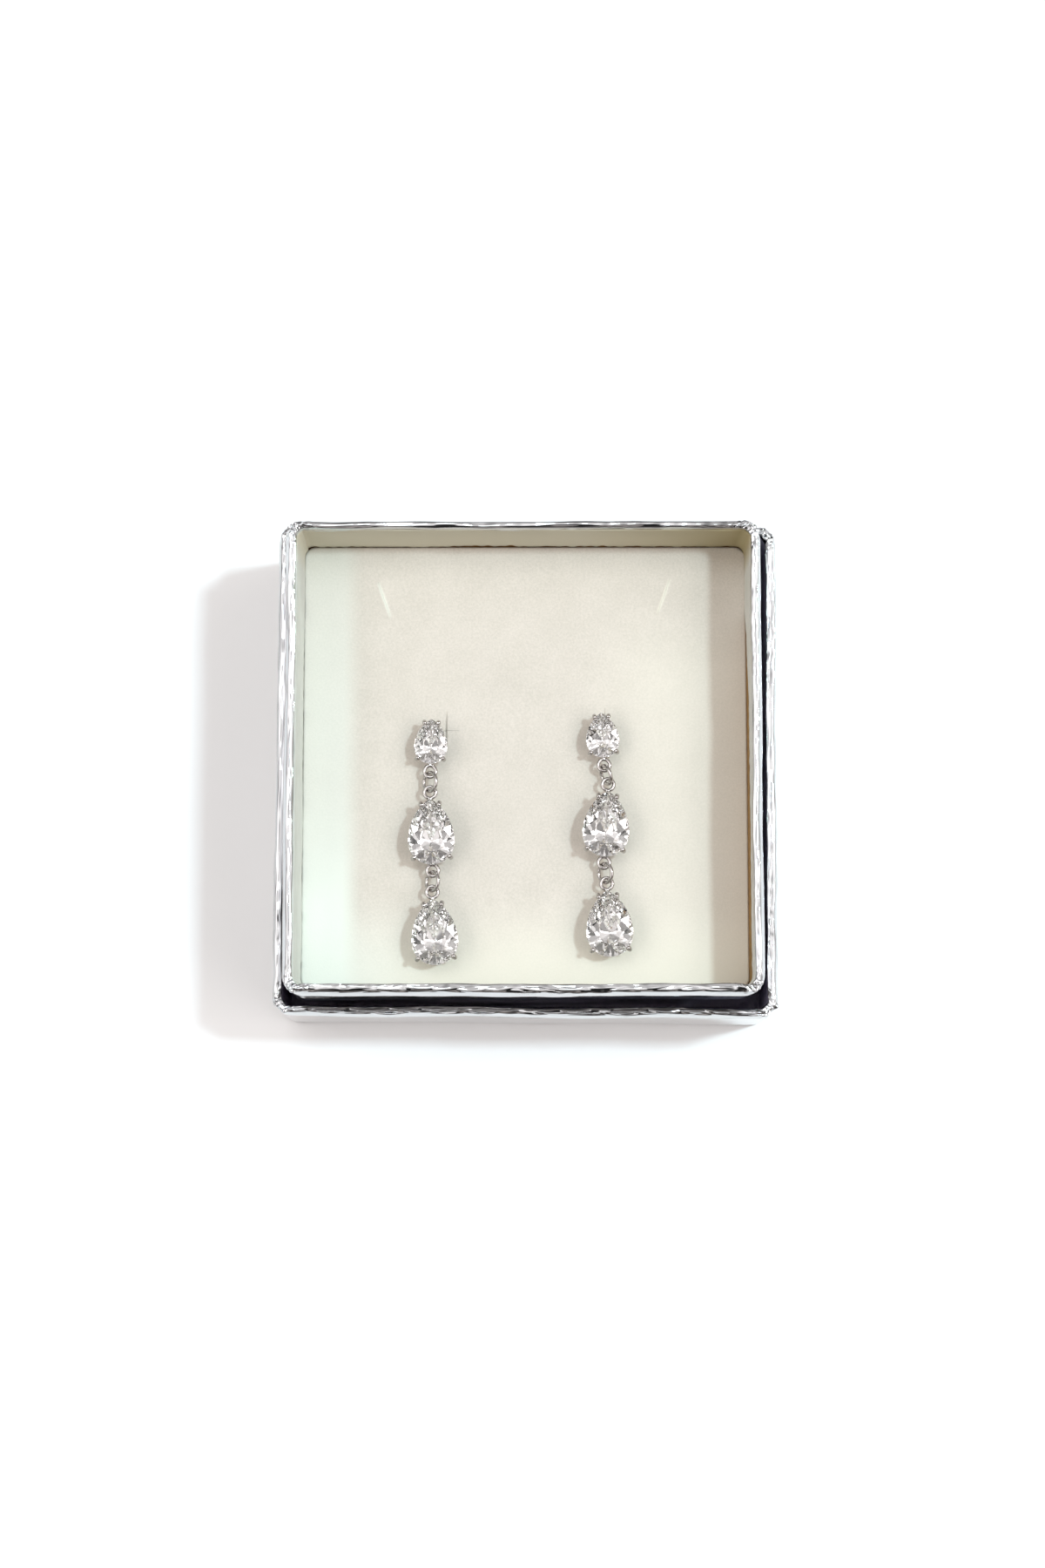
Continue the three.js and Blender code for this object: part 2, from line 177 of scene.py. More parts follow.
def lining_paper():
    """Uncoated cream paper glued over the board: matt, with a faint cloudy formation and a fine tooth. Along
    the back wall its colour is painted yellower, for the warm light bounced onto that wall, and browner
    towards the wall's right end, for painted shade."""
    material, tree, shader = new_material("cream_lining_paper")
    place = node(tree, "ShaderNodeTexCoord").outputs["Object"]
    cloud = node(tree, "ShaderNodeTexNoise", {"Scale": per_mm(3.5), "Detail": 4.0, "Roughness": 0.6},
                 {"Vector": place})
    spread = node(tree, "ShaderNodeMapRange", {"From Min": 0.3, "From Max": 0.7},
                  {"Value": cloud.outputs["Fac"]})
    tooth = node(tree, "ShaderNodeTexNoise", {"Scale": per_mm(0.35), "Detail": 2.0}, {"Vector": place})
    bump = node(tree, "ShaderNodeBump", {"Strength": 0.35, "Distance": 0.03 * MM},
                {"Height": tooth.outputs["Fac"]})
    cream = node(tree, "ShaderNodeMix",
                 {"data_type": "RGBA", FIRST: linear("#CFCFC8"), SECOND: linear("#D9D9D3")},
                 {0: spread.outputs["Result"]})
    parts = node(tree, "ShaderNodeSeparateXYZ", links={0: place})
    # Painted light: the back wall is tinted yellow for warm bounced light, and brown towards its right end
    # for painted shade.
    back = node(tree, "ShaderNodeMapRange", {"From Min": 30 * MM, "From Max": 34 * MM},
                {"Value": parts.outputs["Y"]})
    painted_bounce_yellow = node(tree, "ShaderNodeMix", {"data_type": "RGBA", SECOND: linear("#D3CDB9")},
                    {0: back.outputs["Result"], FIRST: cream.outputs[MIXED]})
    right = node(tree, "ShaderNodeMapRange", {"From Min": 8 * MM, "From Max": 33 * MM},
                 {"Value": parts.outputs["X"]})
    painted_shade_share = node(tree, "ShaderNodeMath", {"operation": "MULTIPLY"},
                      {0: back.outputs["Result"], 1: right.outputs["Result"]})
    painted_shade_brown = node(tree, "ShaderNodeMix", {"data_type": "RGBA", SECOND: linear("#AFA27B")},
                   {0: painted_shade_share.outputs[0], FIRST: painted_bounce_yellow.outputs[MIXED]})
    give(tree, shader, {"Roughness": 0.8},
         {"Base Color": painted_shade_brown.outputs[MIXED], "Normal": bump.outputs["Normal"]})
    return material


def flocked_foam():
    """Nylon flock blown onto foam: short upright fibres, so it is matt face on, pale at a grazing angle and
    faintly mottled where the pile leans. The fibres are drawn seven times as coarse as they are, so that
    they show. Light is painted into its colour as far as the painted-light attribute says: a cool white
    on the far left, and a creamy one from there on."""
    material, tree, shader = new_material("cream_flocked_foam")
    place = node(tree, "ShaderNodeTexCoord").outputs["Object"]
    lean = node(tree, "ShaderNodeTexNoise", {"Scale": per_mm(5.0), "Detail": 3.0, "Roughness": 0.55},
                {"Vector": place})
    fibre_spacing, times_coarser = 0.05, 7
    pile = node(tree, "ShaderNodeTexNoise",
                {"Scale": per_mm(fibre_spacing * times_coarser), "Detail": 4.0, "Roughness": 0.75},
                {"Vector": place})
    blend = node(tree, "ShaderNodeMath", {"operation": "MULTIPLY_ADD", 1: 3.0},
                 {0: pile.outputs["Fac"], 2: lean.outputs["Fac"]})
    spread = node(tree, "ShaderNodeMapRange", {"From Min": 1.5, "From Max": 2.5},
                  {"Value": blend.outputs[0]})
    bump = node(tree, "ShaderNodeBump", {"Strength": 0.35, "Distance": 0.08 * MM},
                {"Height": pile.outputs["Fac"]})
    mottled = node(tree, "ShaderNodeMix",
                   {"data_type": "RGBA", FIRST: linear("#CBC5BA"), SECOND: linear("#DAD3C9")},
                   {0: spread.outputs["Result"]})
    parts = node(tree, "ShaderNodeSeparateXYZ", links={0: place})
    side = node(tree, "ShaderNodeMapRange", {"From Min": -28 * MM, "From Max": -14 * MM},
                {"Value": parts.outputs["X"]})
    # Painted light: a cool white on the far left and a cream one elsewhere, for lit strips and highlights on
    # the pad.
    pale = node(tree, "ShaderNodeMix",
                {"data_type": "RGBA", FIRST: linear("#ECF1E8"), SECOND: linear("#F1EEDF")},
                {0: side.outputs["Result"]})
    painted_light_share = node(tree, "ShaderNodeAttribute", {"attribute_name": "painted_light_on_pile"})
    painted_light_mix = node(tree, "ShaderNodeMix", {"data_type": "RGBA"},
               {0: painted_light_share.outputs["Fac"], FIRST: mottled.outputs[MIXED], SECOND: pale.outputs[MIXED]})
    give(tree, shader, {"Roughness": 1.0, "Sheen Weight": 0.25, "Sheen Roughness": 0.5},
         {"Base Color": painted_light_mix.outputs[MIXED], "Normal": bump.outputs["Normal"]})
    return material


def rhodium_plate():
    """Rhodium plated over polished brass, tumbled bright: a white mirror, a little warm, with a trace of
    tumbling marks."""
    material, tree, shader = new_material("bright_rhodium_plate")
    place = node(tree, "ShaderNodeTexCoord").outputs["Object"]
    marks = node(tree, "ShaderNodeTexNoise", {"Scale": per_mm(0.25), "Detail": 2.0}, {"Vector": place})
    rough = node(tree, "ShaderNodeMapRange",
                 {"From Min": 0.35, "From Max": 0.65, "To Min": 0.05, "To Max": 0.14},
                 {"Value": marks.outputs["Fac"]})
    bump = node(tree, "ShaderNodeBump", {"Strength": 0.1, "Distance": 0.01 * MM},
                {"Height": marks.outputs["Fac"]})
    tint = node(tree, "ShaderNodeMix",
                {"data_type": "RGBA", FIRST: linear("#B2AEAC"), SECOND: linear("#C6C2C0")},
                {0: marks.outputs["Fac"]})
    give(tree, shader, {"Metallic": 1.0},
         {"Base Color": tint.outputs[MIXED], "Roughness": rough.outputs["Result"],
          "Normal": bump.outputs["Normal"]})
    return material


def cubic_zirconia():
    """Clear cubic zirconia, diamond-lapped to flat facets: water-white, very bright surface reflections and
    total reflection inside from its high index of 2.16."""
    material, tree, shader = new_material("polished_cubic_zirconia")
    give(tree, shader, {"Base Color": linear("#FDFDFE"), "Roughness": 0.0, "IOR": 2.16,
                        "Transmission Weight": 1.0})
    return material


# ------------------------------------------------------------------ mesh helpers

def make_piece(name, points, faces, materials, slots=None, smooth=True):
    """A mesh object from points in millimetres and faces of any size. slots gives each face's material
    number."""
    mesh = bpy.data.meshes.new(name)
    faces = faces.tolist() if isinstance(faces, np.ndarray) else faces
    mesh.from_pydata((points * MM).tolist(), [], faces)
    for material in materials:
        mesh.materials.append(material)
    if slots is not None:
        mesh.polygons.foreach_set("material_index", np.asarray(slots, dtype=np.int32))
    mesh.polygons.foreach_set("use_smooth", np.full(len(mesh.polygons), smooth))
    mesh.validate()
    piece = bpy.data.objects.new(name, mesh)
    bpy.context.scene.collection.objects.link(piece)
    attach(piece, "root")
    return piece


def grid_quads(rows, columns, wrap_rows=False, wrap_columns=True, start=0):
    """Quads over a grid of points stored row by row. Wrapping joins the last row or column to the first."""
    row = np.arange(rows if wrap_rows else rows - 1)[:, None]
    column = np.arange(columns if wrap_columns else columns - 1)[None, :]
    next_row = (row + 1) % rows
    next_column = (column + 1) % columns
    corners = (row * columns + column, row * columns + next_column,
               next_row * columns + next_column, next_row * columns + column)
    return start + np.stack([np.broadcast_to(c, (row.size, column.size)) for c in corners], -1).reshape(-1, 4)


def ripples(along, up, period, wavelength, seed, waves=14):
    """A smooth random field: the sum of sines in random directions whose wavelengths lie within a third of
    the one given, each a whole number of times round the period, scaled to a spread of about one."""
    rng = np.random.default_rng(seed)
    direction = rng.uniform(0, 2 * np.pi, waves)
    number = 2 * np.pi / (wavelength * rng.uniform(0.75, 1.33, waves))
    around = np.round(number * np.cos(direction) * period / (2 * np.pi)) * 2 * np.pi / period
    rising = number * np.sin(direction)
    phase = rng.uniform(0, 2 * np.pi, waves)
    total = sum(np.sin(a * along + r * up + p) for a, r, p in zip(around, rising, phase))
    return total * np.sqrt(2 / waves)


def smoothstep(x, low, high):
    """0 below low, 1 above high, and 3t^2 - 2t^3 between them, with t the share of the way."""
    t = np.clip((x - low) / (high - low), 0, 1)
    return t * t * (3 - 2 * t)


def distance_along(points):
    """The distance from the first point to each one, along the line through them."""
    return np.concatenate([[0], np.cumsum(np.linalg.norm(np.diff(points, axis=0), axis=1))])


def distance_round(outline):
    """The distance from the first point to each one round a closed outline, and the whole way round."""
    spacing = np.linalg.norm(np.roll(outline, -1, 0) - outline, axis=1)
    return np.concatenate([[0], np.cumsum(spacing)[:-1]]), spacing.sum()


# ------------------------------------------------------------------ boxes

STRAIGHT_STEPS = 225
BEND_STEPS = 5
CHAMFER_STEPS = 6

BOARD_FLOOR = 1.2  # the bottom panel's thickness
BOARD_EDGE = 0.3  # radius of the board's edges, under the foil
RIM_CROWN = 0.09  # how far the middle of the rim stands over its edges
FOIL_STEP = 0.12  # the turned-in foil's thickness, with its backing and glue
FIRST_SKIN_ROW = 3  # the rows before it lie flat under the box

# How each box is made: its corner's chamfer and bend, outside and at the mouth; its wall with the foil; how
# deep the foil is turned in; how far its right, back, left and front bulge, and how far down; how far the
# loose foil on each of them puffs in at the rim; how deeply the front rim is creased; its turn and its seed.
LID = {
    "chamfer": 1.4, "bend": 0.4, "mouth_chamfer": 1.2, "mouth_bend": 0.6, "wall": 1.05, "foil_in": 2.6,
    "bulge": (0.25, 0.1, 0.25, 0.3), "bulge_reach": 2.0, "puffed": (0.3, 0.0, 0.1, 0.0),
    "front_creases": 0.9, "turn": np.radians(-0.35), "seed": 11,
}
TRAY = {
    "chamfer": 1.0, "bend": 1.2, "mouth_chamfer": 0.8, "mouth_bend": 1.0, "wall": 1.08, "foil_in": 1.9,
    "bulge": (0.68, 0.2, 0.72, 0.62), "bulge_reach": 8.0, "puffed": (0.0, 0.0, 0.0, 0.25),
    "front_creases": 0.45, "turn": 0.0, "seed": 47,
}


def square_path(width, depth, chamfer, bend):
    """A square with chamfered corners, walked anticlockwise: eight straight edges joined by eight small
    arcs of radius bend. Returns the points and the outward normals, with the same number of points for any
    size."""
    x, y = width / 2, depth / 2
    knots = np.array([(x, chamfer - y), (x, y - chamfer), (x - chamfer, y), (chamfer - x, y),
                      (-x, y - chamfer), (-x, chamfer - y), (chamfer - x, -y), (x - chamfer, -y)])
    ahead = np.roll(knots, -1, 0) - knots
    along = ahead / np.linalg.norm(ahead, axis=1)[:, None]
    outward = np.stack([along[:, 1], -along[:, 0]], -1)
    trim = bend * np.tan(np.pi / 8)
    points, normals = [], []
    for i in range(8):
        steps = STRAIGHT_STEPS if i % 2 == 0 else CHAMFER_STEPS
        t = np.linspace(0, 1, steps)[:, None]
        if i % 2 == 0:
            t = (1 - np.cos(np.pi * t)) * 0.15 + t * 0.7  # closer together towards the corners
        start = knots[i] + along[i] * trim
        end = knots[(i + 1) % 8] - along[i] * trim
        points.append(start + (end - start) * t)
        normals.append(np.repeat(outward[i][None], steps, 0))
        turn = np.linspace(0, np.pi / 4, BEND_STEPS + 2)[1:-1, None]
        arc = outward[i] * np.cos(turn) + along[i] * np.sin(turn)
        centre = end - outward[i] * bend
        points.append(centre + arc * bend)
        normals.append(arc)
    return np.concatenate(points), np.concatenate(normals)


def stacked_squares(width, depth, inset, chamfer, bend):
    """One square path for each row of a profile, shrunk by the row's inset: all the points and all the
    normals."""
    paths = [square_path(width - 2 * t, depth - 2 * t, c, b) for t, c, b in zip(inset, chamfer, bend)]
    return np.stack([points for points, _ in paths]), np.stack([normals for _, normals in paths])


def arc_rows(centre, radius, start, end, steps):
    """Profile rows round part of an ellipse: (inset, height) pairs from angle start to end, in degrees."""
    angle = np.radians(np.linspace(start, end, steps))
    return np.stack([centre[0] + radius[0] * np.cos(angle), centre[1] + radius[1] * np.sin(angle)], -1)


def line_rows(start, end, steps):
    """Evenly spaced profile rows from start up to, but not including, end."""
    t = np.arange(steps)[:, None] / steps
    return np.array(start) + (np.array(end) - np.array(start)) * t


def board_profile(bottom, top, make):
    """A box's wall in section, as (inset, height) rows: out along the underside, round its edge, up the
    outside, over the crowned rim, down the turned-in foil to the small step where it ends, down the raw
    inside and in along the floor. Also returns the numbers of four rows: where the rim's crown starts, its
    highest, where the turned-in foil starts, and the first one past the foil."""
    wall, foil_end = make["wall"], top - make["foil_in"]
    middle = make["chamfer"] * 9
    board_in = wall - FOIL_STEP
    shoulder = top - RIM_CROWN - BOARD_EDGE
    edge = (BOARD_EDGE, BOARD_EDGE)
    outside = np.concatenate([line_rows((middle, bottom), (BOARD_EDGE, bottom), FIRST_SKIN_ROW),
                              arc_rows((BOARD_EDGE, bottom + BOARD_EDGE), edge, 270, 180, 5)[:-1]])
    climb = np.linspace(0, 1, 24)[:, None] ** 0.6  # closer together towards the rim
    side = np.array([0.0, bottom + BOARD_EDGE]) + np.array([0.0, shoulder - bottom - BOARD_EDGE]) * climb
    over_edge = arc_rows((BOARD_EDGE, shoulder), edge, 180, 100, 7)[1:]
    crown_x = np.linspace(BOARD_EDGE, wall - BOARD_EDGE, 15)[1:-1]
    crown = np.column_stack([crown_x, top - RIM_CROWN * (2 * crown_x / wall - 1) ** 2 * 1.6])
    in_edge = arc_rows((wall - BOARD_EDGE, shoulder), edge, 80, 0, 7)
    turned = line_rows((wall, shoulder), (wall, foil_end), 8)[1:]
    step = np.array([(wall, foil_end), (wall - FOIL_STEP * 0.3, foil_end - 0.06),
                     (board_in, foil_end - 0.12)])
    raw = line_rows((board_in, foil_end - 0.5), (board_in, bottom + BOARD_FLOOR), 8)
    floor = line_rows((board_in, bottom + BOARD_FLOOR), (middle, bottom + BOARD_FLOOR), 3)
    profile = np.concatenate([outside, side, over_edge, crown, in_edge, turned, step, raw, floor])
    crown_row = len(outside) + len(side) + len(over_edge)
    past_foil = len(profile) - len(raw) - len(floor) - 2
    return profile, crown_row, crown_row + len(crown) // 2, past_foil - len(turned) - 1, past_foil


def foil_relief(make, outline, facing, across, from_crest, low_down):
    """How far the foil stands off the smooth box and lies above it, and how crushed it is at a folded
    corner. Off the box: a long wave for the board; near the rim, pulled and pinched ripples that run along
    it, a fine drawn one that fades slowly down the wall, crumpled corners and a creased front; and on each
    side a bulge below the rim, where the board is doubled, and loose foil that puffs in past it. Above the
    box: a sway, fine lines, crumpled corners and the same creases. A crumple or a crease is a ripple's size
    less its mean, so that it is sharp in its valleys. Each fades from the rim or a corner by exp(-(d /
    reach)^2)."""
    along, period = distance_round(outline)
    shape = (len(across), len(along))
    s = np.broadcast_to(along, shape)
    v = np.broadcast_to(across, shape)

    def waves(wavelength, number, drawn_out=1.0, squashed=1.0):
        return ripples(s * drawn_out, v * squashed, period * drawn_out, wavelength, make["seed"] + number)

    def creases(wavelength, number, drawn_out=1.0):
        return np.abs(waves(wavelength, number, drawn_out)) - 0.8

    near_corner = np.hypot(*(outline.max(0) - np.abs(outline)).T)
    folds = np.exp(-(near_corner / 2.6) ** 2)
    near_rim = np.exp(-(from_crest / 1.6) ** 2)
    front_edge = -outline[:, 1].min()
    front = make["front_creases"] * smoothstep(-outline[:, 1], front_edge - 1.0, front_edge - 0.2)

    board_wave = 0.05 * waves(26, 0)
    pulled = 0.024 * waves(4.2, 1, drawn_out=0.4, squashed=0.6)
    pinched = 0.018 * creases(1.5, 2, drawn_out=0.15)
    drawn = 0.026 * waves(0.85, 9, drawn_out=0.10)
    crumple = 0.17 * creases(1.25, 3)
    creased = creases(0.95, 12, drawn_out=0.15)
    off = (board_wave + near_rim * (pulled + pinched) + np.exp(-(from_crest / 5) ** 2) * drawn
           + near_rim * (folds * crumple + front * 0.10 * creased))

    sides = np.maximum([facing[:, 0], facing[:, 1], -facing[:, 0], -facing[:, 1]], 0) ** 2
    clear_of_corner = smoothstep(near_corner, 0.4, 2.6)
    below = -from_crest
    doubled = 0.65 * smoothstep(below, 0.5, 2.2) + 0.35 * smoothstep(below, 1.2, make["bulge_reach"])
    off = off + np.array(make["bulge"]) @ sides * doubled * low_down * clear_of_corner
    loose = smoothstep(from_crest, -0.3, 0.5) * (1 - smoothstep(from_crest, 0.9, 1.7))
    puffed = np.array(make["puffed"]) @ sides * loose * clear_of_corner

    sway = 0.05 * ripples(along, 0 * along, period, 8.0, make["seed"] + 6)
    sway = sway + 0.02 * ripples(along, 0 * along, period, 2.6, make["seed"] + 7)
    lines = 0.014 * waves(0.7, 10, drawn_out=0.10)
    top_crumple = 0.14 * creases(1.1, 8)
    above = near_rim * (sway - 0.06 + lines + folds * top_crumple + front * 0.11 * creased)
    return off, puffed, above, folds * near_rim


def board_box(name, low, high, width, depth, make, inside):
    """A board box wrapped in foil: the section carried round a chamfered square. Each row's square is the
    outer one shrunk by its inset. Its chamfer and bend shrink with it, and run over the rim to those of the
    mouth. The foil's relief then moves every point along its normal and upwards, and the foil's end goes up
    and down by a wave, which grows down the turned-in foil."""
    profile, crown_row, crest_row, turned_row, past_foil = board_profile(low[2], high[2], make)
    inset, height = profile.T
    rows = len(profile)
    inward = smoothstep(inset, 0.35 * make["wall"], make["wall"]) * (np.arange(rows) >= crown_row)
    inward[past_foil:] = 1.0
    chamfer = np.maximum(make["chamfer"] - (2 - np.sqrt(2)) * inset, 0.25)
    bend = np.maximum(make["bend"] - inset, 0.15)
    chamfer = chamfer * (1 - inward) + make["mouth_chamfer"] * inward
    bend = bend * (1 - inward) + make["mouth_bend"] * inward
    plan, normal = stacked_squares(width, depth, inset, chamfer, bend)
    outline, facing = square_path(width, depth, make["chamfer"], make["bend"])
    along, period = distance_round(outline)
    columns = len(along)

    across = distance_along(profile)[:, None]
    from_crest = across - across[crest_row]
    low_down = smoothstep(height[:, None], low[2] + 1, low[2] + 8)
    off, puffed, above, crushed = foil_relief(make, outline, facing, across, from_crest, low_down)
    skin = np.zeros((rows, 1))
    skin[FIRST_SKIN_ROW:past_foil] = 1.0
    foil_end = 0.28 * ripples(along, 0 * along, period, 7.0, make["seed"] + 4)
    foil_end = foil_end + 0.12 * ripples(along, 0 * along, period, 2.3, make["seed"] + 5)
    turned_share = np.zeros((rows, 1))
    turned_share[turned_row:past_foil, 0] = np.linspace(0, 1, past_foil - turned_row)
    turned_share[past_foil:past_foil + 2] = 1.0

    place = plan + normal * (skin * off - puffed)[:, :, None]
    z = height[:, None] + turned_share * foil_end + above
    points = np.concatenate([place, z[:, :, None]], -1).reshape(-1, 3)
    c, s = np.cos(make["turn"]), np.sin(make["turn"])
    points[:, :2] = points[:, :2] @ np.array([[c, s], [-s, c]]) + ((low + high) / 2)[:2]

    quads = grid_quads(rows, columns)
    slots = np.where(np.arange(len(quads)) // columns < past_foil, 0, 1)
    under = list(range(columns))[::-1]
    over_floor = list(range((rows - 1) * columns, rows * columns))
    faces = quads.tolist() + [under, over_floor]
    box = make_piece(name, points, faces, [MATERIALS["foil"], inside], np.append(slots, [0, 1]))
    crumple = box.data.attributes.new("crumple", "FLOAT", "POINT")
    crumple.data.foreach_set("value", (skin * crushed).ravel())
    return box


def lid_size():
    """The lid's own width and depth. A chamfered square turned by an angle spans width cos + (depth - 2
    chamfer) sin one way and depth cos + (width - 2 chamfer) sin the other, which is solved for width and
    depth."""
    span = (LID_HIGH - LID_LOW)[:2]
    c, s = np.cos(LID["turn"]), abs(np.sin(LID["turn"]))
    return np.linalg.solve([[c, s], [s, c]], span + 2 * LID["chamfer"] * s)


LINING_GAP = 0.02
LINING_PAPER = 0.1
LINING_TOP = RIM - 1.2
WEDGE = {"y": (-20, -1, 10, 12, 19.5, 25.5), "height": (8.0, 7.2, 6.8, 5.3, 3.6, -1.5)}


def lining_foot(x, y):
    """How far the lining's lower edge stands above the pad's face. It is cut on a slant along the right
    wall, so a wedge of raw board shows under it, and it runs unevenly a little above the pad along the
    back. Elsewhere it goes down behind the pad."""
    right = smoothstep(x, 33.0, 33.6) * np.interp(y, WEDGE["y"], WEDGE["height"])
    back = smoothstep(y, 33.0, 33.6) * (0.35 * smoothstep(x, -14, -9) * smoothstep(-x, -26, -20) + 0.1)
    rough = 0.22 * ripples(x, y, 270, 2.0, 71)
    return np.maximum(right, back - 1.5 * (y < 33.0)) + rough


def lining_band():
    """The paper band inside the tray, under the turned-in foil: a thin closed section carried round the
    same chamfered square as the wall, with rounder corners towards its foot. A slow ripple lifts it off the
    wall, and on the left it leans in towards its foot."""
    share = np.linspace(0, 1, 14)
    rise = np.concatenate([share, share[::-1]])
    inset = LINING_GAP + np.repeat([0.0, LINING_PAPER], len(share))
    width, depth = TRAY_HIGH[:2] - TRAY_LOW[:2] - 2 * (TRAY["wall"] - FOIL_STEP)
    plan, normal = stacked_squares(width, depth, inset, 1.0 - 0.15 * rise, 1.68 - 0.55 * rise)
    outline = plan[0]
    foot = PAD_FACE + lining_foot(outline[:, 0], outline[:, 1])
    z = foot + (LINING_TOP - foot) * rise[:, None]
    along, period = distance_round(outline)
    off = 0.03 * (ripples(np.broadcast_to(along, z.shape), z * 0.5, period, 17.0, 31) - 2)
    left = smoothstep(-plan[:, :, 0], 30.0, 33.0) * (RIM - z) / 13
    off = off * smoothstep(RIM - z, 1.5, 4) - 0.36 * left * (np.abs(normal[:, :, 0]) > 0.5)
    place = plan + normal * off[:, :, None] + TRAY_CENTRE[:2]
    points = np.concatenate([place, z[:, :, None]], -1).reshape(-1, 3)
    faces = grid_quads(len(inset), len(along), wrap_rows=True)
    return make_piece("cream_lining", points, faces, [MATERIALS["lining"]])


# ------------------------------------------------------------------ pad

PAD_CORNER = 1.7
PAD_ROLL = 0.2
# How far each side of the pad stands past its CAD node, pressed against the lining.
PAD_PRESS = {"left": -0.15, "right": 0.6, "front": 0.1, "back": 0.2}

SLIT_WIDTH = 0.02
SLIT_DEPTH = 6.0
HALF_SLIT = 3.0
# From the tray's centre: each necklace slit's middle, and the way it leans; where the slits at each ear post
# cross, and how far the level one goes to the left and to the right.
NECKLACE_SLITS = ((-21.3, 25.7, np.radians(-19.5)), (21.5, 26.3, np.radians(19.5)))
POST_SLITS = ((-11.7, 5.5, 2.6, 1.9), (12.4, 6.0, 2.6, 2.4))
# The pad's grid is fine within this much of its edges and over these stretches, where the slits are.
FINE_MARGIN = 1.5
FINE_ACROSS = [(-23.2, -19.4), (-14.4, -9.4), (10.0, 15.2), (19.6, 23.4)]
FINE_DEEP = [(2.2, 9.4), (22.4, 29.6)]


def slit_ends():
    """Both ends of every slit from the tray's centre, and its kind. The two for a necklace lean apart
    towards the back, and an upright and a level one cross at each ear post."""
    found = []
    for x, y, lean in NECKLACE_SLITS:
        reach = HALF_SLIT * np.array([np.sin(lean), np.cos(lean)])
        found.append((np.array([x, y]) - reach, np.array([x, y]) + reach, "necklace"))
    for x, y, left, right in POST_SLITS:
        found.append((np.array([x, y - HALF_SLIT]), np.array([x, y + HALF_SLIT]), "upright"))
        found.append((np.array([x - left, y]), np.array([x + right, y]), "level"))
    return found


def from_slit(x, y, start, end):
    """Each point's distance along a slit from its middle, as a share of half its length, and its distance
    to the side, which is positive on the right."""
    half = np.linalg.norm(end - start) / 2
    way = (end - start) / (2 * half)
    px, py = x - (start + end)[0] / 2, y - (start + end)[1] / 2
    return (px * way[0] + py * way[1]) / half, px * way[1] - py * way[0]


def spaced(low, high, zones, fine=0.17, coarse=0.9):
    """Positions from low to high that are a fine step apart inside the zones and a coarse one elsewhere:
    the step's inverse is summed, and the sum is cut into equal parts."""
    x = np.linspace(low, high, 6001)
    inside = np.any([(x > a) & (x < b) for a, b in zones], axis=0)
    total = np.concatenate([[0], np.cumsum(np.where(inside, 1 / fine, 1 / coarse)[1:] * np.diff(x))])
    return np.interp(np.linspace(0, total[-1], int(total[-1]) + 1), total, x)


def slit_lips(x, y, z):
    """The face's height z with what each slit does to it, where t is the place along the slit and d the
    distance to its side: a necklace slit has a lip of exp(-(d / 0.3)^2), a level one a hollow of the same
    shape, and an upright one a flap whose left edge stands over a dip, both falling off as exp(-d). Each
    fades out with 1 - t^2 or its root."""
    for start, end, kind in slit_ends():
        t, side = from_slit(x, y, start, end)
        fade = np.clip(1 - t ** 2, 0, 1)
        if kind == "necklace":
            z = z + 0.16 * np.sqrt(fade) * np.exp(-((side / 0.30) ** 2))
        elif kind == "upright":
            z = z + fade * np.where(side > 0, 0.22 * np.exp(-side / 0.9), -0.25 * np.exp(side / 0.55))
        else:
            z = z - 0.05 * np.sqrt(fade) * np.exp(-((side / 0.4) ** 2))
    return z


def grid_rim(rows, columns):
    """The numbers of the points round a grid's edge, anticlockwise from the first one."""
    last_row, last_column = rows - 1, columns - 1
    row = np.concatenate([np.zeros(last_column, int), np.arange(last_row),
                          np.full(last_column, last_row), np.arange(last_row, 0, -1)])
    column = np.concatenate([np.arange(last_column), np.full(last_row, last_column),
                             np.arange(last_column, 0, -1), np.zeros(last_row, int)])
    return row * columns + column


def pad_face(low, high):
    """The pad's top as a grid of points, finer at the slits and the edges. Its square rings are drawn to
    rectangles whose corner radius is PAD_CORNER times ring^6, with ring 0 in the middle and 1 at the edge.
    The outermost PAD_ROLL turns down in a quarter circle, and the face rises and falls by a slow ripple."""
    half, centre = (high - low) / 2, (high + low) / 2
    sides = [(low[0], low[0] + FINE_MARGIN), (high[0] - FINE_MARGIN, high[0])]
    ends = [(low[1], low[1] + FINE_MARGIN), (high[1] - FINE_MARGIN, high[1])]
    across = spaced(low[0], high[0], sides + FINE_ACROSS)
    deep = spaced(low[1], high[1], ends + FINE_DEEP)
    u, v = np.meshgrid((across - centre[0]) / half[0], (deep - centre[1]) / half[1])
    ring = np.maximum(np.abs(u), np.abs(v))
    radius = PAD_CORNER * ring ** 6
    x, y = u * half[0], v * half[1]
    past_x = np.abs(x) - (ring * half[0] - radius)
    past_y = np.abs(y) - (ring * half[1] - radius)
    in_corner = (past_x > 0) & (past_y > 0)
    pull = np.where(in_corner, radius / np.maximum(np.hypot(past_x, past_y), 1e-9), 1)
    x = np.where(in_corner, np.sign(x) * (ring * half[0] - radius + past_x * pull), x) + centre[0]
    y = np.where(in_corner, np.sign(y) * (ring * half[1] - radius + past_y * pull), y) + centre[1]
    inset = (1 - ring) * half.mean()
    rolled = PAD_ROLL - np.sqrt(np.maximum(PAD_ROLL ** 2 - (PAD_ROLL - inset) ** 2, 0))
    drop = np.where(inset < PAD_ROLL, rolled, 0)
    z = PAD_FACE - drop + np.clip(inset / 3, 0, 1) * (0.05 * ripples(x, y, 4 * half[0], 19, 5) - 0.03)
    return np.stack([x + TRAY_CENTRE[0], y + TRAY_CENTRE[1], slit_lips(x, y, z)], -1)


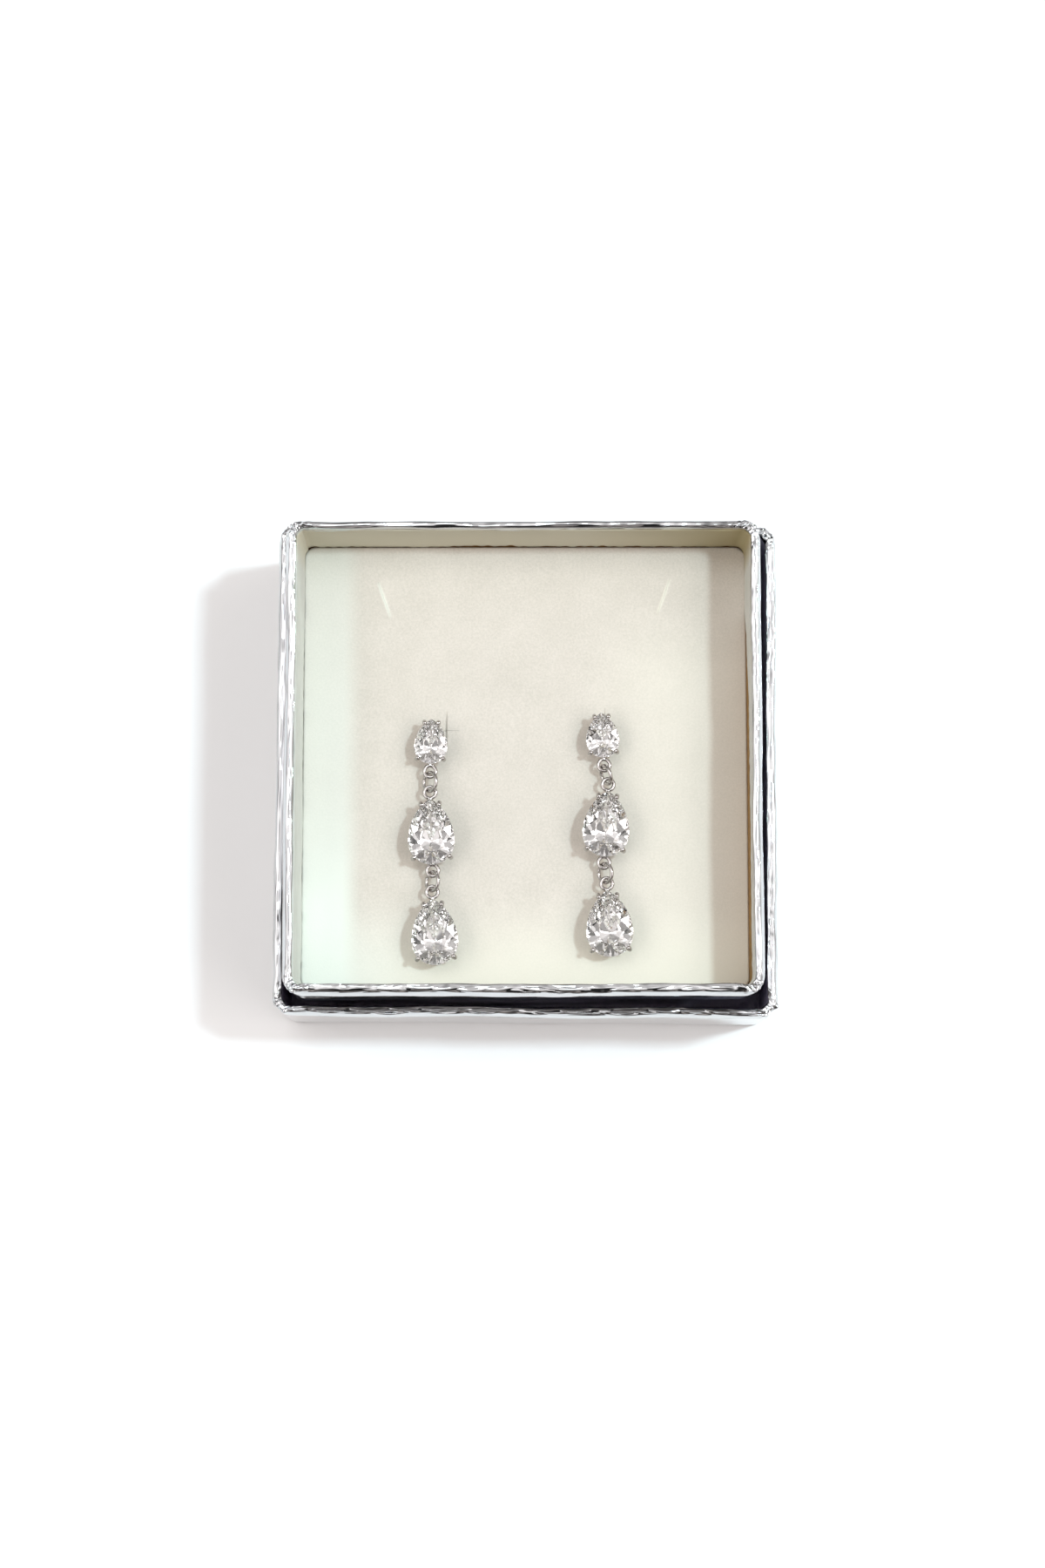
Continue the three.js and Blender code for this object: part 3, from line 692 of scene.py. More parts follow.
def pad_mesh():
    """The foam block: its face, sides that go straight down from the face's rim in even steps, and one flat
    underside."""
    low = PAD_LOW[:2] - TRAY_CENTRE[:2] - (PAD_PRESS["left"], PAD_PRESS["front"])
    high = PAD_HIGH[:2] - TRAY_CENTRE[:2] + (PAD_PRESS["right"], PAD_PRESS["back"])
    face = pad_face(low, high)
    rows, columns = face.shape[:2]
    face = face.reshape(-1, 3)
    rim = grid_rim(rows, columns)
    side_heights = np.linspace(PAD_FACE - PAD_ROLL, PAD_LOW[2], 9)[1:]
    sides = np.repeat(face[rim][None], len(side_heights), 0)
    sides[:, :, 2] = side_heights[:, None]
    points = np.concatenate([face, sides.reshape(-1, 3)])
    below = len(face) + np.arange(len(side_heights) * len(rim)).reshape(-1, len(rim))
    ring = np.concatenate([rim[None], below])
    upper, lower = ring[:-1], ring[1:]
    quads = np.stack([upper, lower, np.roll(lower, -1, 1), np.roll(upper, -1, 1)], -1).reshape(-1, 4)
    underside = ring[-1][::-1].tolist()
    return points, grid_quads(rows, columns, wrap_columns=False).tolist() + quads.tolist() + [underside]


def blade(start, end):
    """A thin closed lens, pointed at both ends, that stands through the pad's face: its half width at t
    along the cut is the slit's half width times 1 - t^2, and a hair more, so that its ends stay closed."""
    t = np.linspace(-1, 1, 13)
    width = SLIT_WIDTH / 2 * (1 - t ** 2) + 2e-3
    way = (end - start) / np.linalg.norm(end - start)
    side = np.array([way[1], -way[0]])
    spine = (start + end) / 2 + (end - start) / 2 * t[:, None] + TRAY_CENTRE[:2]
    loop = np.concatenate([spine + side * width[:, None], (spine - side * width[:, None])[::-1]])
    count = len(loop)
    levels = (PAD_FACE - SLIT_DEPTH, PAD_FACE + 1.0)
    points = np.concatenate([np.column_stack([loop, np.full(count, z)]) for z in levels])
    return points, grid_quads(2, count).tolist() + [list(range(count))[::-1], list(range(count, 2 * count))]


def apply_modifiers(piece):
    """Replaces the piece's mesh by its evaluated one and removes its modifiers."""
    graph = bpy.context.evaluated_depsgraph_get()
    finished = bpy.data.meshes.new_from_object(piece.evaluated_get(graph))
    piece.modifiers.clear()
    piece.data = finished


def painted_light_on_pile(x, y):
    """How much light is painted into the pile's colour, from 0 to 1: along the left and front edges, faintly
    towards the front right, and as a painted highlight in a narrow line on each necklace slit, fading
    towards its ends. The three strips are smooth steps, and together leave 1 - the product of what each
    leaves."""
    left = 0.4 + 0.15 * smoothstep(-y, -32.0, 0.0) + 0.4 * smoothstep(-y, 2.0, 24.0)
    left = left * smoothstep(-x, 24.3, 27.8)
    front = 0.7 * smoothstep(-y, 18.0, 33.0)
    right = 0.35 * smoothstep(x, 6.0, 24.0) * smoothstep(-y, -28.0, -12.0)
    painted_light_mix = 1 - (1 - left) * (1 - front) * (1 - right)
    for start, end, kind in slit_ends():
        if kind == "necklace":
            t, side = from_slit(x, y, start, end)
            painted_light_mix = np.maximum(painted_light_mix, np.sqrt(np.clip(1 - t ** 2, 0, 1)) * np.exp(-((side / 0.22) ** 2)))
    return painted_light_mix


def flocked_pad():
    """The pad with its slits cut by thin lens-shaped blades: first those that don't cross, then the level
    ones."""
    pad = make_piece("flocked_pad", *pad_mesh(), [MATERIALS["flock"]])
    for level in (False, True):
        blades = merged([blade(start, end) for start, end, kind in slit_ends() if (kind == "level") == level])
        tool = make_piece("blades", *blades, [MATERIALS["flock"]], smooth=False)
        cut = pad.modifiers.new("slits", "BOOLEAN")
        cut.operation = "DIFFERENCE"
        cut.solver = "EXACT"
        cut.object = tool
        apply_modifiers(pad)
        bpy.data.objects.remove(tool)
    flat = np.empty(3 * len(pad.data.vertices))
    pad.data.vertices.foreach_get("co", flat)
    x, y = (flat.reshape(-1, 3)[:, :2] / MM - TRAY_CENTRE[:2]).T
    # Painted light for the pad's colour: lighter strips and painted highlights on the necklace slits.
    pad.data.attributes.new("painted_light_on_pile", "FLOAT", "POINT").data.foreach_set("value", painted_light_on_pile(x, y))
    return pad


# ------------------------------------------------------------------ pear outlines and stones

# Heights: of the culet over the pad's face, and of a stone's three parts from the culet up.
CULET_LIFT = 0.9
PAVILION = {"small": 2.1, "large": 2.9}
GIRDLE = {"small": 0.2, "large": 0.25}
CROWN = {"small": 0.85, "large": 1.15}

# Where the facets point, in degrees up from the right, for a stone's right half, which its left half mirrors.
MAIN_AZIMUTHS = (-90, -48, -8, 24, 46, 90)
BREAK_AZIMUTHS = (-79, -62, -36, -20, 4, 16, 31, 40, 56, 70)
GIRDLE_AZIMUTHS = np.radians(np.arange(0, 360, 7.5))
BEZEL_SLOPE = np.radians(33.0)
STAR_SLOPE = np.radians(22.0)
CROWN_BREAK_STEEPER = np.radians(6.0)
PAVILION_BREAK_STEEPER = np.radians(2.2)
CULET_FACET_FLATTER = np.radians(2.4)
LAPPING_TURN = np.radians(1.4)
LAPPING_SLOPE = np.radians(0.55)


def pear_side(width, length):
    """A pear's round end is a half circle, and each side is an arc that leaves the widest point straight up
    and reaches the tip. Returns the half circle's radius, its centre's y, the tip's height over it and the
    side's radius, which is (rise^2 + end^2) / (2 end)."""
    end_radius = width / 2
    rise = length - end_radius
    return end_radius, end_radius - length / 2, rise, (rise ** 2 + end_radius ** 2) / (2 * end_radius)


def pear_outline(width, length, t):
    """Points on a pear, tip towards +Y, centred on the middle of its length, for t from 0 to 1
    anticlockwise from the widest point on the right. The first half of t goes over the two sides, the
    second round the end."""
    end_radius, heart, rise, side_radius = pear_side(width, length)
    side_angle = np.arcsin(rise / side_radius)
    on_side = t < 0.5
    turn = np.where(t < 0.25, 4 * t, 2 - 4 * t) * side_angle
    sign = np.where(t < 0.25, 1, -1)
    side_x = sign * (end_radius - side_radius + side_radius * np.cos(turn))
    x = np.where(on_side, side_x, end_radius * np.cos(2 * np.pi * t))
    y = heart + np.where(on_side, side_radius * np.sin(turn), end_radius * np.sin(2 * np.pi * t))
    return np.stack([x, y], -1)


def facet_planes(width, length, crown, girdle, pavilion):
    """Every facet of a pear brilliant as a plane, n . p <= d, with z = 0 at the girdle's foot. A facet's
    azimuth is where its normal points, and it touches the girdle where the outline's own normal points that
    way. Pavilion mains also pass through the culet, breaks are a little steeper than the mains beside them,
    crown bezels lie at one slope, star facets cut the table's corners, and a ring of flatter facets lies
    round the culet. Each facet is off by about a degree, as lapping by hand leaves it."""
    outline = pear_outline(width, length, np.linspace(0, 1, 4001))
    heart = pear_side(width, length)[1]
    rng = np.random.default_rng(7)

    def reach(azimuth):
        return (outline @ np.array([np.cos(azimuth), np.sin(azimuth)])).max()

    def main_slope(azimuth):
        return np.arctan2(pavilion, reach(azimuth) - heart * np.sin(azimuth))

    def plane(azimuth, slope, through_z, distance, sign):
        azimuth = azimuth + rng.normal(0, LAPPING_TURN)
        slope = slope + rng.normal(0, LAPPING_SLOPE)
        out, up = np.sin(slope), sign * np.cos(slope)
        return np.array([out * np.cos(azimuth), out * np.sin(azimuth), up, out * distance + up * through_z])

    mains = np.radians(sorted({*MAIN_AZIMUTHS, *(180 - a for a in MAIN_AZIMUTHS)}))
    breaks = np.radians([*BREAK_AZIMUTHS, *(180 - a for a in BREAK_AZIMUTHS)])
    planes = [np.append(UP, girdle + crown)]
    for azimuth in GIRDLE_AZIMUTHS:
        planes.append(np.array([np.cos(azimuth), np.sin(azimuth), 0, reach(azimuth)]))
    for azimuth in mains:
        planes.append(plane(azimuth, main_slope(azimuth), 0, reach(azimuth), -1))
        planes.append(plane(azimuth, BEZEL_SLOPE, girdle, reach(azimuth), 1))
    for azimuth in breaks:
        planes.append(plane(azimuth, main_slope(azimuth) + PAVILION_BREAK_STEEPER, 0, reach(azimuth), -1))
        planes.append(plane(azimuth, BEZEL_SLOPE + CROWN_BREAK_STEEPER, girdle, reach(azimuth), 1))
    ordered = np.sort(np.mod(mains, 2 * np.pi))
    inward = crown / np.tan(BEZEL_SLOPE) * 1.04
    for first, second in zip(ordered, np.roll(ordered, -1)):
        azimuth = first + np.mod(second - first, 2 * np.pi) / 2
        planes.append(plane(azimuth, STAR_SLOPE, girdle + crown, reach(azimuth) - inward, 1))
        near_culet = heart * np.sin(azimuth) + 0.16
        planes.append(plane(azimuth, main_slope(azimuth) - CULET_FACET_FLATTER, -pavilion, near_culet, -1))
    return np.array(planes)


def cut_solid(planes):
    """The convex body inside all the planes. Every three planes meet in a point, the points outside any
    plane are dropped, those that coincide are merged, and each plane's points in order round it are one
    flat facet."""
    least_volume, outside_by, same_point = 1e-5, 1e-6, 2e-3
    triples = np.array(list(itertools.combinations(range(len(planes)), 3)))
    normals, distances = planes[:, :3], planes[:, 3]
    sets = normals[triples]
    solvable = np.abs(np.linalg.det(sets)) > least_volume
    triples, sets = triples[solvable], sets[solvable]
    meets = np.linalg.solve(sets, distances[triples][:, :, None])[:, :, 0]
    inside = (meets @ normals.T <= distances + outside_by).all(1)
    points = np.unique(np.round(meets[inside], 4), axis=0)
    keep = [0]
    for i in range(1, len(points)):
        if np.linalg.norm(points[keep] - points[i], axis=1).min() > same_point:
            keep.append(i)
    points = points[keep]
    facets = []
    for normal, distance in zip(normals, distances):
        on = np.flatnonzero(np.abs(points @ normal - distance) < same_point)
        if len(on) < 3:
            continue
        across = np.cross(normal, UP if abs(normal[2]) < 0.9 else ACROSS)
        across /= np.linalg.norm(across)
        offset = points[on] - points[on].mean(0)
        order = np.argsort(np.arctan2(offset @ np.cross(normal, across), offset @ across))
        facets.append(on[order].tolist())
    return points, facets


def lie(side, name):
    """Where a stone lies, read from its CAD node: its outline's centre, its turn, its girdle's width and
    length, and its culet's height. The culet layer's middle and the tip, the point furthest from it, give
    the axis."""
    points = node_points(f"{side}_{name}_stone")
    culet = points[:, 2].min()
    heart = points[points[:, 2] < culet + 0.01][:, :2].mean(0)
    away = points[:, :2] - heart
    tip = away[np.argmax(np.linalg.norm(away, axis=1))]
    axis = tip / np.linalg.norm(tip)
    lengthways = away @ axis
    sideways = away @ np.array([axis[1], -axis[0]])
    length = lengthways.max() - lengthways.min()
    width = sideways.max() - sideways.min()
    centre = heart + axis * (lengthways.max() + lengthways.min()) / 2
    turn = np.arctan2(-axis[0], axis[1])
    return {"centre": centre, "turn": turn, "width": width, "length": length, "culet": culet}


def laid(points, place, lift=0.0):
    """Points given in a stone's own axes, turned and moved to where it lies."""
    c, s = np.cos(place["turn"]), np.sin(place["turn"])
    plan = points[:, :2] @ np.array([[c, s], [-s, c]]) + place["centre"]
    return np.column_stack([plan, points[:, 2] + lift])


# ------------------------------------------------------------------ wire work

RAIL_WIRE = 0.27
LOOP_WIRE = 0.29
NECK_WIRE = LOOP_WIRE * 1.15
LOOP_RADIUS = 0.88
LOOP_REACH = {"tip": 1.1, "stud_end": 1.1, "middle_end": 0.75}
BASE_RAIL = {"scale": 0.6, "lift": 0.57}
GALLERY_RAIL = {"scale": 0.85, "lift": 2.25}
PRONG = {"small": {"foot": 0.26, "girdle": 0.34, "claw": 0.40},
         "large": {"foot": 0.30, "girdle": 0.37, "claw": 0.44}}
PRONG_BELOW_TIP = 0.11
PRONG_BELOW_WIDEST = np.radians(42)
POST = {"radius": 0.4, "length": 10.5, "point": 0.5}
RING_CUT = 0.1
SOLDER_CELL = 0.07


def swept(path, radius, reference, sides=16, closed=False):
    """A round wire: a circle of each point's radius carried along the path. The circle's first direction is
    at right angles to the path and to the reference, which lies across the whole path."""
    ahead = np.roll(path, -1, 0) - np.roll(path, 1, 0) if closed else np.gradient(path, axis=0)
    ahead /= np.linalg.norm(ahead, axis=1)[:, None]
    first = np.cross(reference, ahead)
    first /= np.linalg.norm(first, axis=1)[:, None]
    second = np.cross(ahead, first)
    angle = np.linspace(0, 2 * np.pi, sides, endpoint=False)
    spoke = first[:, None] * np.cos(angle)[None, :, None] + second[:, None] * np.sin(angle)[None, :, None]
    points = (path[:, None] + spoke * np.broadcast_to(radius, len(path))[:, None, None]).reshape(-1, 3)
    faces = grid_quads(len(path), sides, wrap_rows=closed).tolist()
    if not closed:
        faces += [list(range(sides))[::-1], list(range((len(path) - 1) * sides, len(path) * sides))]
    return points, faces


def curve_through(knots, steps):
    """A smooth curve through the knots: on each stretch the cubic whose slopes are half the step between
    the knots on either side."""
    padded = np.concatenate([2 * knots[:1] - knots[1:2], knots, 2 * knots[-1:] - knots[-2:-1]])
    t = np.linspace(0, len(knots) - 1, steps)
    i = np.minimum(t.astype(int), len(knots) - 2)
    f = (t - i)[:, None]
    a, b, c, d = (padded[i + k] for k in range(4))
    squared, cubed = 2 * a - 5 * b + 4 * c - d, 3 * b - a - 3 * c + d
    return 0.5 * (2 * b + (c - a) * f + squared * f ** 2 + cubed * f ** 3)


def merged(parts):
    """Several point and face lists as one."""
    points, faces, start = [], [], 0
    for part_points, part_faces in parts:
        points.append(part_points)
        faces += [[start + i for i in face] for face in part_faces]
        start += len(part_points)
    return np.concatenate(points), faces


def level_circle(centre, radius, height, steps=40):
    """Points round a level circle."""
    angle = np.linspace(0, 2 * np.pi, steps, endpoint=False)
    return np.column_stack([centre[0] + radius * np.cos(angle), centre[1] + radius * np.sin(angle),
                            np.full(steps, height)])


def rail(width, length, scale, lift, steps=96):
    """A wire rail: the pear outline shrunk about the centre of its round end."""
    heart = pear_side(width, length)[1]
    plan = pear_outline(width, length, np.linspace(0, 1, steps, endpoint=False))
    path = np.column_stack([plan[:, 0] * scale, heart + (plan[:, 1] - heart) * scale, np.full(steps, lift)])
    return swept(path, RAIL_WIRE, UP, 12, closed=True)


def claw(root, heart, size, crown_slope):
    """One prong: a wire that leaves the base rail, leans out to stand against the girdle and bends in over
    the crown to a round claw. Its radius grows to the claw and closes at its end like a ball: by the root
    of 1 - (1 - d)^2, where d is the distance from the end in claw radii."""
    sizes = PRONG[size]
    outward = (root - heart) / np.linalg.norm(root - heart)
    girdle = CULET_LIFT + PAVILION[size]
    foot = heart + (root - heart) * BASE_RAIL["scale"]
    base_z = BASE_RAIL["lift"]
    stand = outward * sizes["girdle"] * 0.75
    beside = root + stand
    claw_z = girdle + GIRDLE[size] + 0.1 * crown_slope + sizes["claw"] * 1.28
    knots = np.array([
        [*foot, base_z],
        [*(foot + (beside - foot) * 0.58), base_z + (girdle - base_z) * 0.48],  # leaning out
        [*beside, girdle],
        [*(root + stand * 0.75), girdle + GIRDLE[size] + 0.22],  # bending in over the girdle
        [*(root - outward * 0.22), claw_z],  # on the crown
    ])
    path = curve_through(knots, 40)
    thickness = [sizes[part] for part in ("foot", "girdle", "girdle", "claw")]
    radius = np.interp(np.linspace(0, 1, len(path)), [0, 0.5, 0.75, 1], thickness)
    from_end = np.minimum(np.linalg.norm(path - path[-1], axis=1) / sizes["claw"], 1)
    radius = radius * np.sqrt(np.maximum(1 - (1 - from_end) ** 2, 0.02))
    across = np.array([-outward[1], outward[0], 0.0])
    return swept(path, radius, across, 14)


def prong_roots(width, length):
    """Where the four prongs stand on the outline: two a ninth of the length below the tip, two at the round
    end 42 degrees below its widest line."""
    end_radius, heart, _, side_radius = pear_side(width, length)
    y = length * (0.5 - PRONG_BELOW_TIP)
    x = end_radius - side_radius + np.sqrt(side_radius ** 2 - (y - heart) ** 2)
    low_x = end_radius * np.cos(PRONG_BELOW_WIDEST)
    low_y = heart - end_radius * np.sin(PRONG_BELOW_WIDEST)
    return np.array([(x, y), (-x, y), (low_x, low_y), (-low_x, low_y)])


def soldered_loop(width, length, y):
    """A level loop whose middle is at y, and the short neck that runs from it into the gallery rail."""
    heart = pear_side(width, length)[1]
    side = np.sign(y)
    reach = length - width / 2 if side > 0 else width / 2
    rail_y = heart + side * reach * GALLERY_RAIL["scale"]
    near_y = y - side * LOOP_RADIUS
    loop = swept(level_circle((0, y), LOOP_RADIUS, GALLERY_RAIL["lift"]), LOOP_WIRE, UP, 12, closed=True)
    neck_y = np.linspace(rail_y - side * 0.05, near_y + side * 0.05, 8)
    path = np.column_stack([np.zeros(8), neck_y, np.full(8, GALLERY_RAIL["lift"])])
    return [loop, swept(path, NECK_WIRE, UP, 12)]


def ear_post(width, length):
    """The post, straight down from the base rail's tip. Its lower end closes like a ball."""
    y = pear_side(width, length)[1] + (length - width / 2) * BASE_RAIL["scale"]
    z = np.linspace(-POST["length"], BASE_RAIL["lift"], 30)
    from_end = np.minimum((z - z[0]) / POST["point"], 1)
    radius = POST["radius"] * np.sqrt(np.clip(1 - (1 - from_end) ** 2, 0.1, 1))
    return swept(np.column_stack([np.zeros(30), np.full(30, y), z]), radius, ACROSS, 14)


def setting_parts(size, width, length, loops, with_post):
    """Every wire of one basket in its own axes, with z = 0 on the pad's face: two rails, four prongs, a
    soldered loop on a short neck at each given place, and the ear post."""
    heart = np.array([0.0, pear_side(width, length)[1]])
    crown_slope = CROWN[size] / (width / 2 * 0.42)
    parts = [rail(width, length, **BASE_RAIL), rail(width, length, **GALLERY_RAIL)]
    parts += [claw(root, heart, size, crown_slope) for root in prong_roots(width, length)]
    for y in loops:
        parts += soldered_loop(width, length, y)
    if with_post:
        parts.append(ear_post(width, length))
    return merged(parts)


def soldered(name, points, faces):
    """The wires run together as solder leaves them: the joined mesh is remeshed as one skin and smoothed,
    which fills the corners where wires meet. The remesh works in millimetres, because its cells can't be
    under 0.1 of a millimetre in metres."""
    mesh = bpy.data.meshes.new(name)
    mesh.from_pydata(points.tolist(), [], faces)
    helper = bpy.data.objects.new(name, mesh)
    bpy.context.scene.collection.objects.link(helper)
    remesh = helper.modifiers.new("one_skin", "REMESH")
    remesh.mode = "VOXEL"
    remesh.voxel_size = SOLDER_CELL
    smooth = helper.modifiers.new("fillet", "SMOOTH")
    smooth.factor = 0.5
    smooth.iterations = 4
    apply_modifiers(helper)
    finished = helper.data
    flat = np.empty(3 * len(finished.vertices))
    finished.vertices.foreach_get("co", flat)
    quads = [list(face.vertices) for face in finished.polygons]
    bpy.data.objects.remove(helper)
    return flat.reshape(-1, 3), quads


def link_ring(side, name):
    """An open jump ring fitted to its CAD node: the plane with the least spread of the node's points is the
    ring's, and the points' mean lies away from the cut."""
    points = node_points(f"{side}_{name}")
    centre = (points.min(0) + points.max(0)) / 2
    normal = np.linalg.svd(points - centre, full_matrices=False)[2][2]
    in_plane = points - centre - np.outer((points - centre) @ normal, normal)
    from_centre = np.linalg.norm(in_plane, axis=1)
    radius = (from_centre.max() + from_centre.min()) / 2
    to_cut = centre - points.mean(0)
    to_cut -= normal * (to_cut @ normal)
    to_cut /= np.linalg.norm(to_cut)
    across = np.cross(normal, to_cut)
    half_cut = RING_CUT / radius / 2
    angle = np.linspace(half_cut, 2 * np.pi - half_cut, 64)
    path = centre + radius * (np.outer(np.cos(angle), to_cut) + np.outer(np.sin(angle), across))
    ring_points, faces = swept(path, LOOP_WIRE, normal, 14)
    piece = make_piece(f"{side}_{name}_ring", ring_points, faces, [MATERIALS["metal"]])
    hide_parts(f"{side}_{name}")


def jewellery():
    """Both earrings. Each kind of basket and each size of stone is worked out once, from the left
    earring's, and laid where each CAD node lies. A kind's loops are at its ends: 1 for the tip, -1 for the
    round end."""
    kinds = {
        "stud": ("small", [-1], True),
        "middle": ("large", [1, -1], False),
        "drop": ("large", [1], False),
    }
    cut = {}
    for name, (size, ends, with_post) in kinds.items():
        first = lie(SIDES[0], name)
        width, length = first["width"], first["length"]
        reach = {1: LOOP_REACH["tip"], -1: LOOP_REACH["stud_end" if name == "stud" else "middle_end"]}
        loops = [end * (length / 2 + reach[end]) for end in ends]
        metal = soldered(f"{name}_wires", *setting_parts(size, width, length, loops, with_post))
        if size not in cut:
            cut[size] = cut_solid(facet_planes(width, length, CROWN[size], GIRDLE[size], PAVILION[size]))
        for side in SIDES:
            place = lie(side, name)
            basket = make_piece(f"{side}_{name}_basket", laid(metal[0], place, PAD_FACE), metal[1],
                                [MATERIALS["metal"]])
            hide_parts(f"{side}_{name}_setting")
            points, facets = cut[size]
            points = laid(points, place, place["culet"] + PAVILION[size])
            gem = make_piece(f"{side}_{name}_pear_stone", points, facets, [MATERIALS["stone"]], smooth=False)
            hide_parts(f"{side}_{name}_stone")
    for side in SIDES:
        for name in ("upper_link", "lower_link"):
            link_ring(side, name)


# ------------------------------------------------------------------ studio

LENS = 68.7
CAMERA_FROM_TRAY = (0.99, -63.04)
CAMERA_HEIGHT = 472.95
CAMERA_PITCH = np.radians(7.628)
CAMERA_YAW = np.radians(0.144)
LAMP_DISTANCE = 1500
LAMP_TARGET = (0, 0, 20)
OPENING = (0.0, -0.407, 0.914)  # which way the tent's opening lies, as a unit vector


def aimed(thing, place, target, above=(0.0, 1.0, 0.0)):
    """Puts a camera or lamp at a place in millimetres, looking at the target, with its top towards above."""
    back = np.array(place, float) - np.array(target, float)
    back /= np.linalg.norm(back)
    right = np.cross(above, back)
    right /= np.linalg.norm(right)
    turn = np.eye(4)
    turn[:3, :3] = np.column_stack([right, np.cross(back, right), back])
    turn[:3, 3] = np.array(place) * MM
    thing.matrix_world = Matrix(turn.tolist())


def camera():
    """The viewpoint: almost straight above the box and a little to its front."""
    data = bpy.data.cameras.new("camera")
    data.lens = LENS
    data.clip_start, data.clip_end = 0.01, 50.0
    thing = bpy.data.objects.new("camera", data)
    bpy.context.scene.collection.objects.link(thing)
    place = np.append(TRAY_CENTRE[:2] + CAMERA_FROM_TRAY, CAMERA_HEIGHT)
    level = np.cos(CAMERA_PITCH)
    forward = np.array([-np.sin(CAMERA_YAW) * level, np.sin(CAMERA_PITCH), -np.cos(CAMERA_YAW) * level])
    aimed(thing, place, place + forward)
    bpy.context.scene.camera = thing


def lamp(name, toward, size, power, colour):
    """A square soft box, as far from the table's origin as toward times LAMP_DISTANCE, aimed at the tray.
    Its size is in metres and its power in watts."""
    data = bpy.data.lights.new(name, "AREA")
    data.shape = "RECTANGLE"
    data.size = data.size_y = size
    data.energy = power
    data.color = linear(colour)[:3]
    thing = bpy.data.objects.new(name, data)
    bpy.context.scene.collection.objects.link(thing)
    aimed(thing, np.array(toward) * LAMP_DISTANCE, LAMP_TARGET, above=(0.0, 0.999, 0.04))


def white_tent():
    """The world: a tent of white cloth, a little warm, with its radiance a product of smooth steps, one for
    each row of the table. It is grey and a little dimmer towards its front, where the maker stands."""
    world = bpy.data.worlds.new("white_tent")
    bpy.context.scene.world = world
    world.use_nodes = True
    tree = world.node_tree
    tree.nodes.clear()
    direction = node(tree, "ShaderNodeTexCoord").outputs["Generated"]
    parts = node(tree, "ShaderNodeSeparateXYZ", links={0: direction})
    up, back = parts.outputs["Z"], parts.outputs["Y"]
    to_opening = node(tree, "ShaderNodeVectorMath", {"operation": "DOT_PRODUCT", 1: OPENING}, {0: direction})
    gathers = node(tree, "ShaderNodeMath", {"operation": "MULTIPLY", 1: 12.0}, {0: parts.outputs["X"]})
    gathers = node(tree, "ShaderNodeMath", {"operation": "COSINE"}, {0: gathers.outputs[0]})
    rows = (
        # what it follows, from, to, radiance before, radiance after
        (up, 0.38, 0.64, 0.8, 2.8),  # bright from halfway up
        (up, 0.08, 0.36, 0.35, 1.0),  # dim near the table
        (up, 0.83, 0.96, 1.0, 0.48),  # grey at the very top
        (back, 0.18, 0.45, 1.0, 0.3),  # grey at the rear
        (to_opening.outputs["Value"], 0.93, 0.965, 1.0, 0.02),  # a dark round opening in the top
        (gathers.outputs[0], -1.0, 1.0, 0.6, 1.12),  # the cloth hangs in folds from front to back
    )
    strength = None
    for value, start, end, before, after in rows:
        step = node(tree, "ShaderNodeMapRange",
                    {"interpolation_type": "SMOOTHSTEP", "From Min": start, "From Max": end, "To Min": before,
                     "To Max": after}, {"Value": value}).outputs["Result"]
        if strength is None:
            strength = step
        else:
            strength = node(tree, "ShaderNodeMath", {"operation": "MULTIPLY"},
                            {0: strength, 1: step}).outputs[0]
    clear = node(tree, "ShaderNodeMapRange",
                 {"interpolation_type": "SMOOTHSTEP", "From Min": -0.7, "From Max": -0.3}, {"Value": back})
    tint = node(tree, "ShaderNodeMix",
                {"data_type": "RGBA", FIRST: linear("#746E6B"), SECOND: linear("#FFFAF8")},
                {0: clear.outputs["Result"]})
    cloth = node(tree, "ShaderNodeBackground", links={"Color": tint.outputs[MIXED], "Strength": strength})
    node(tree, "ShaderNodeOutputWorld", links={"Surface": cloth.outputs[0]})


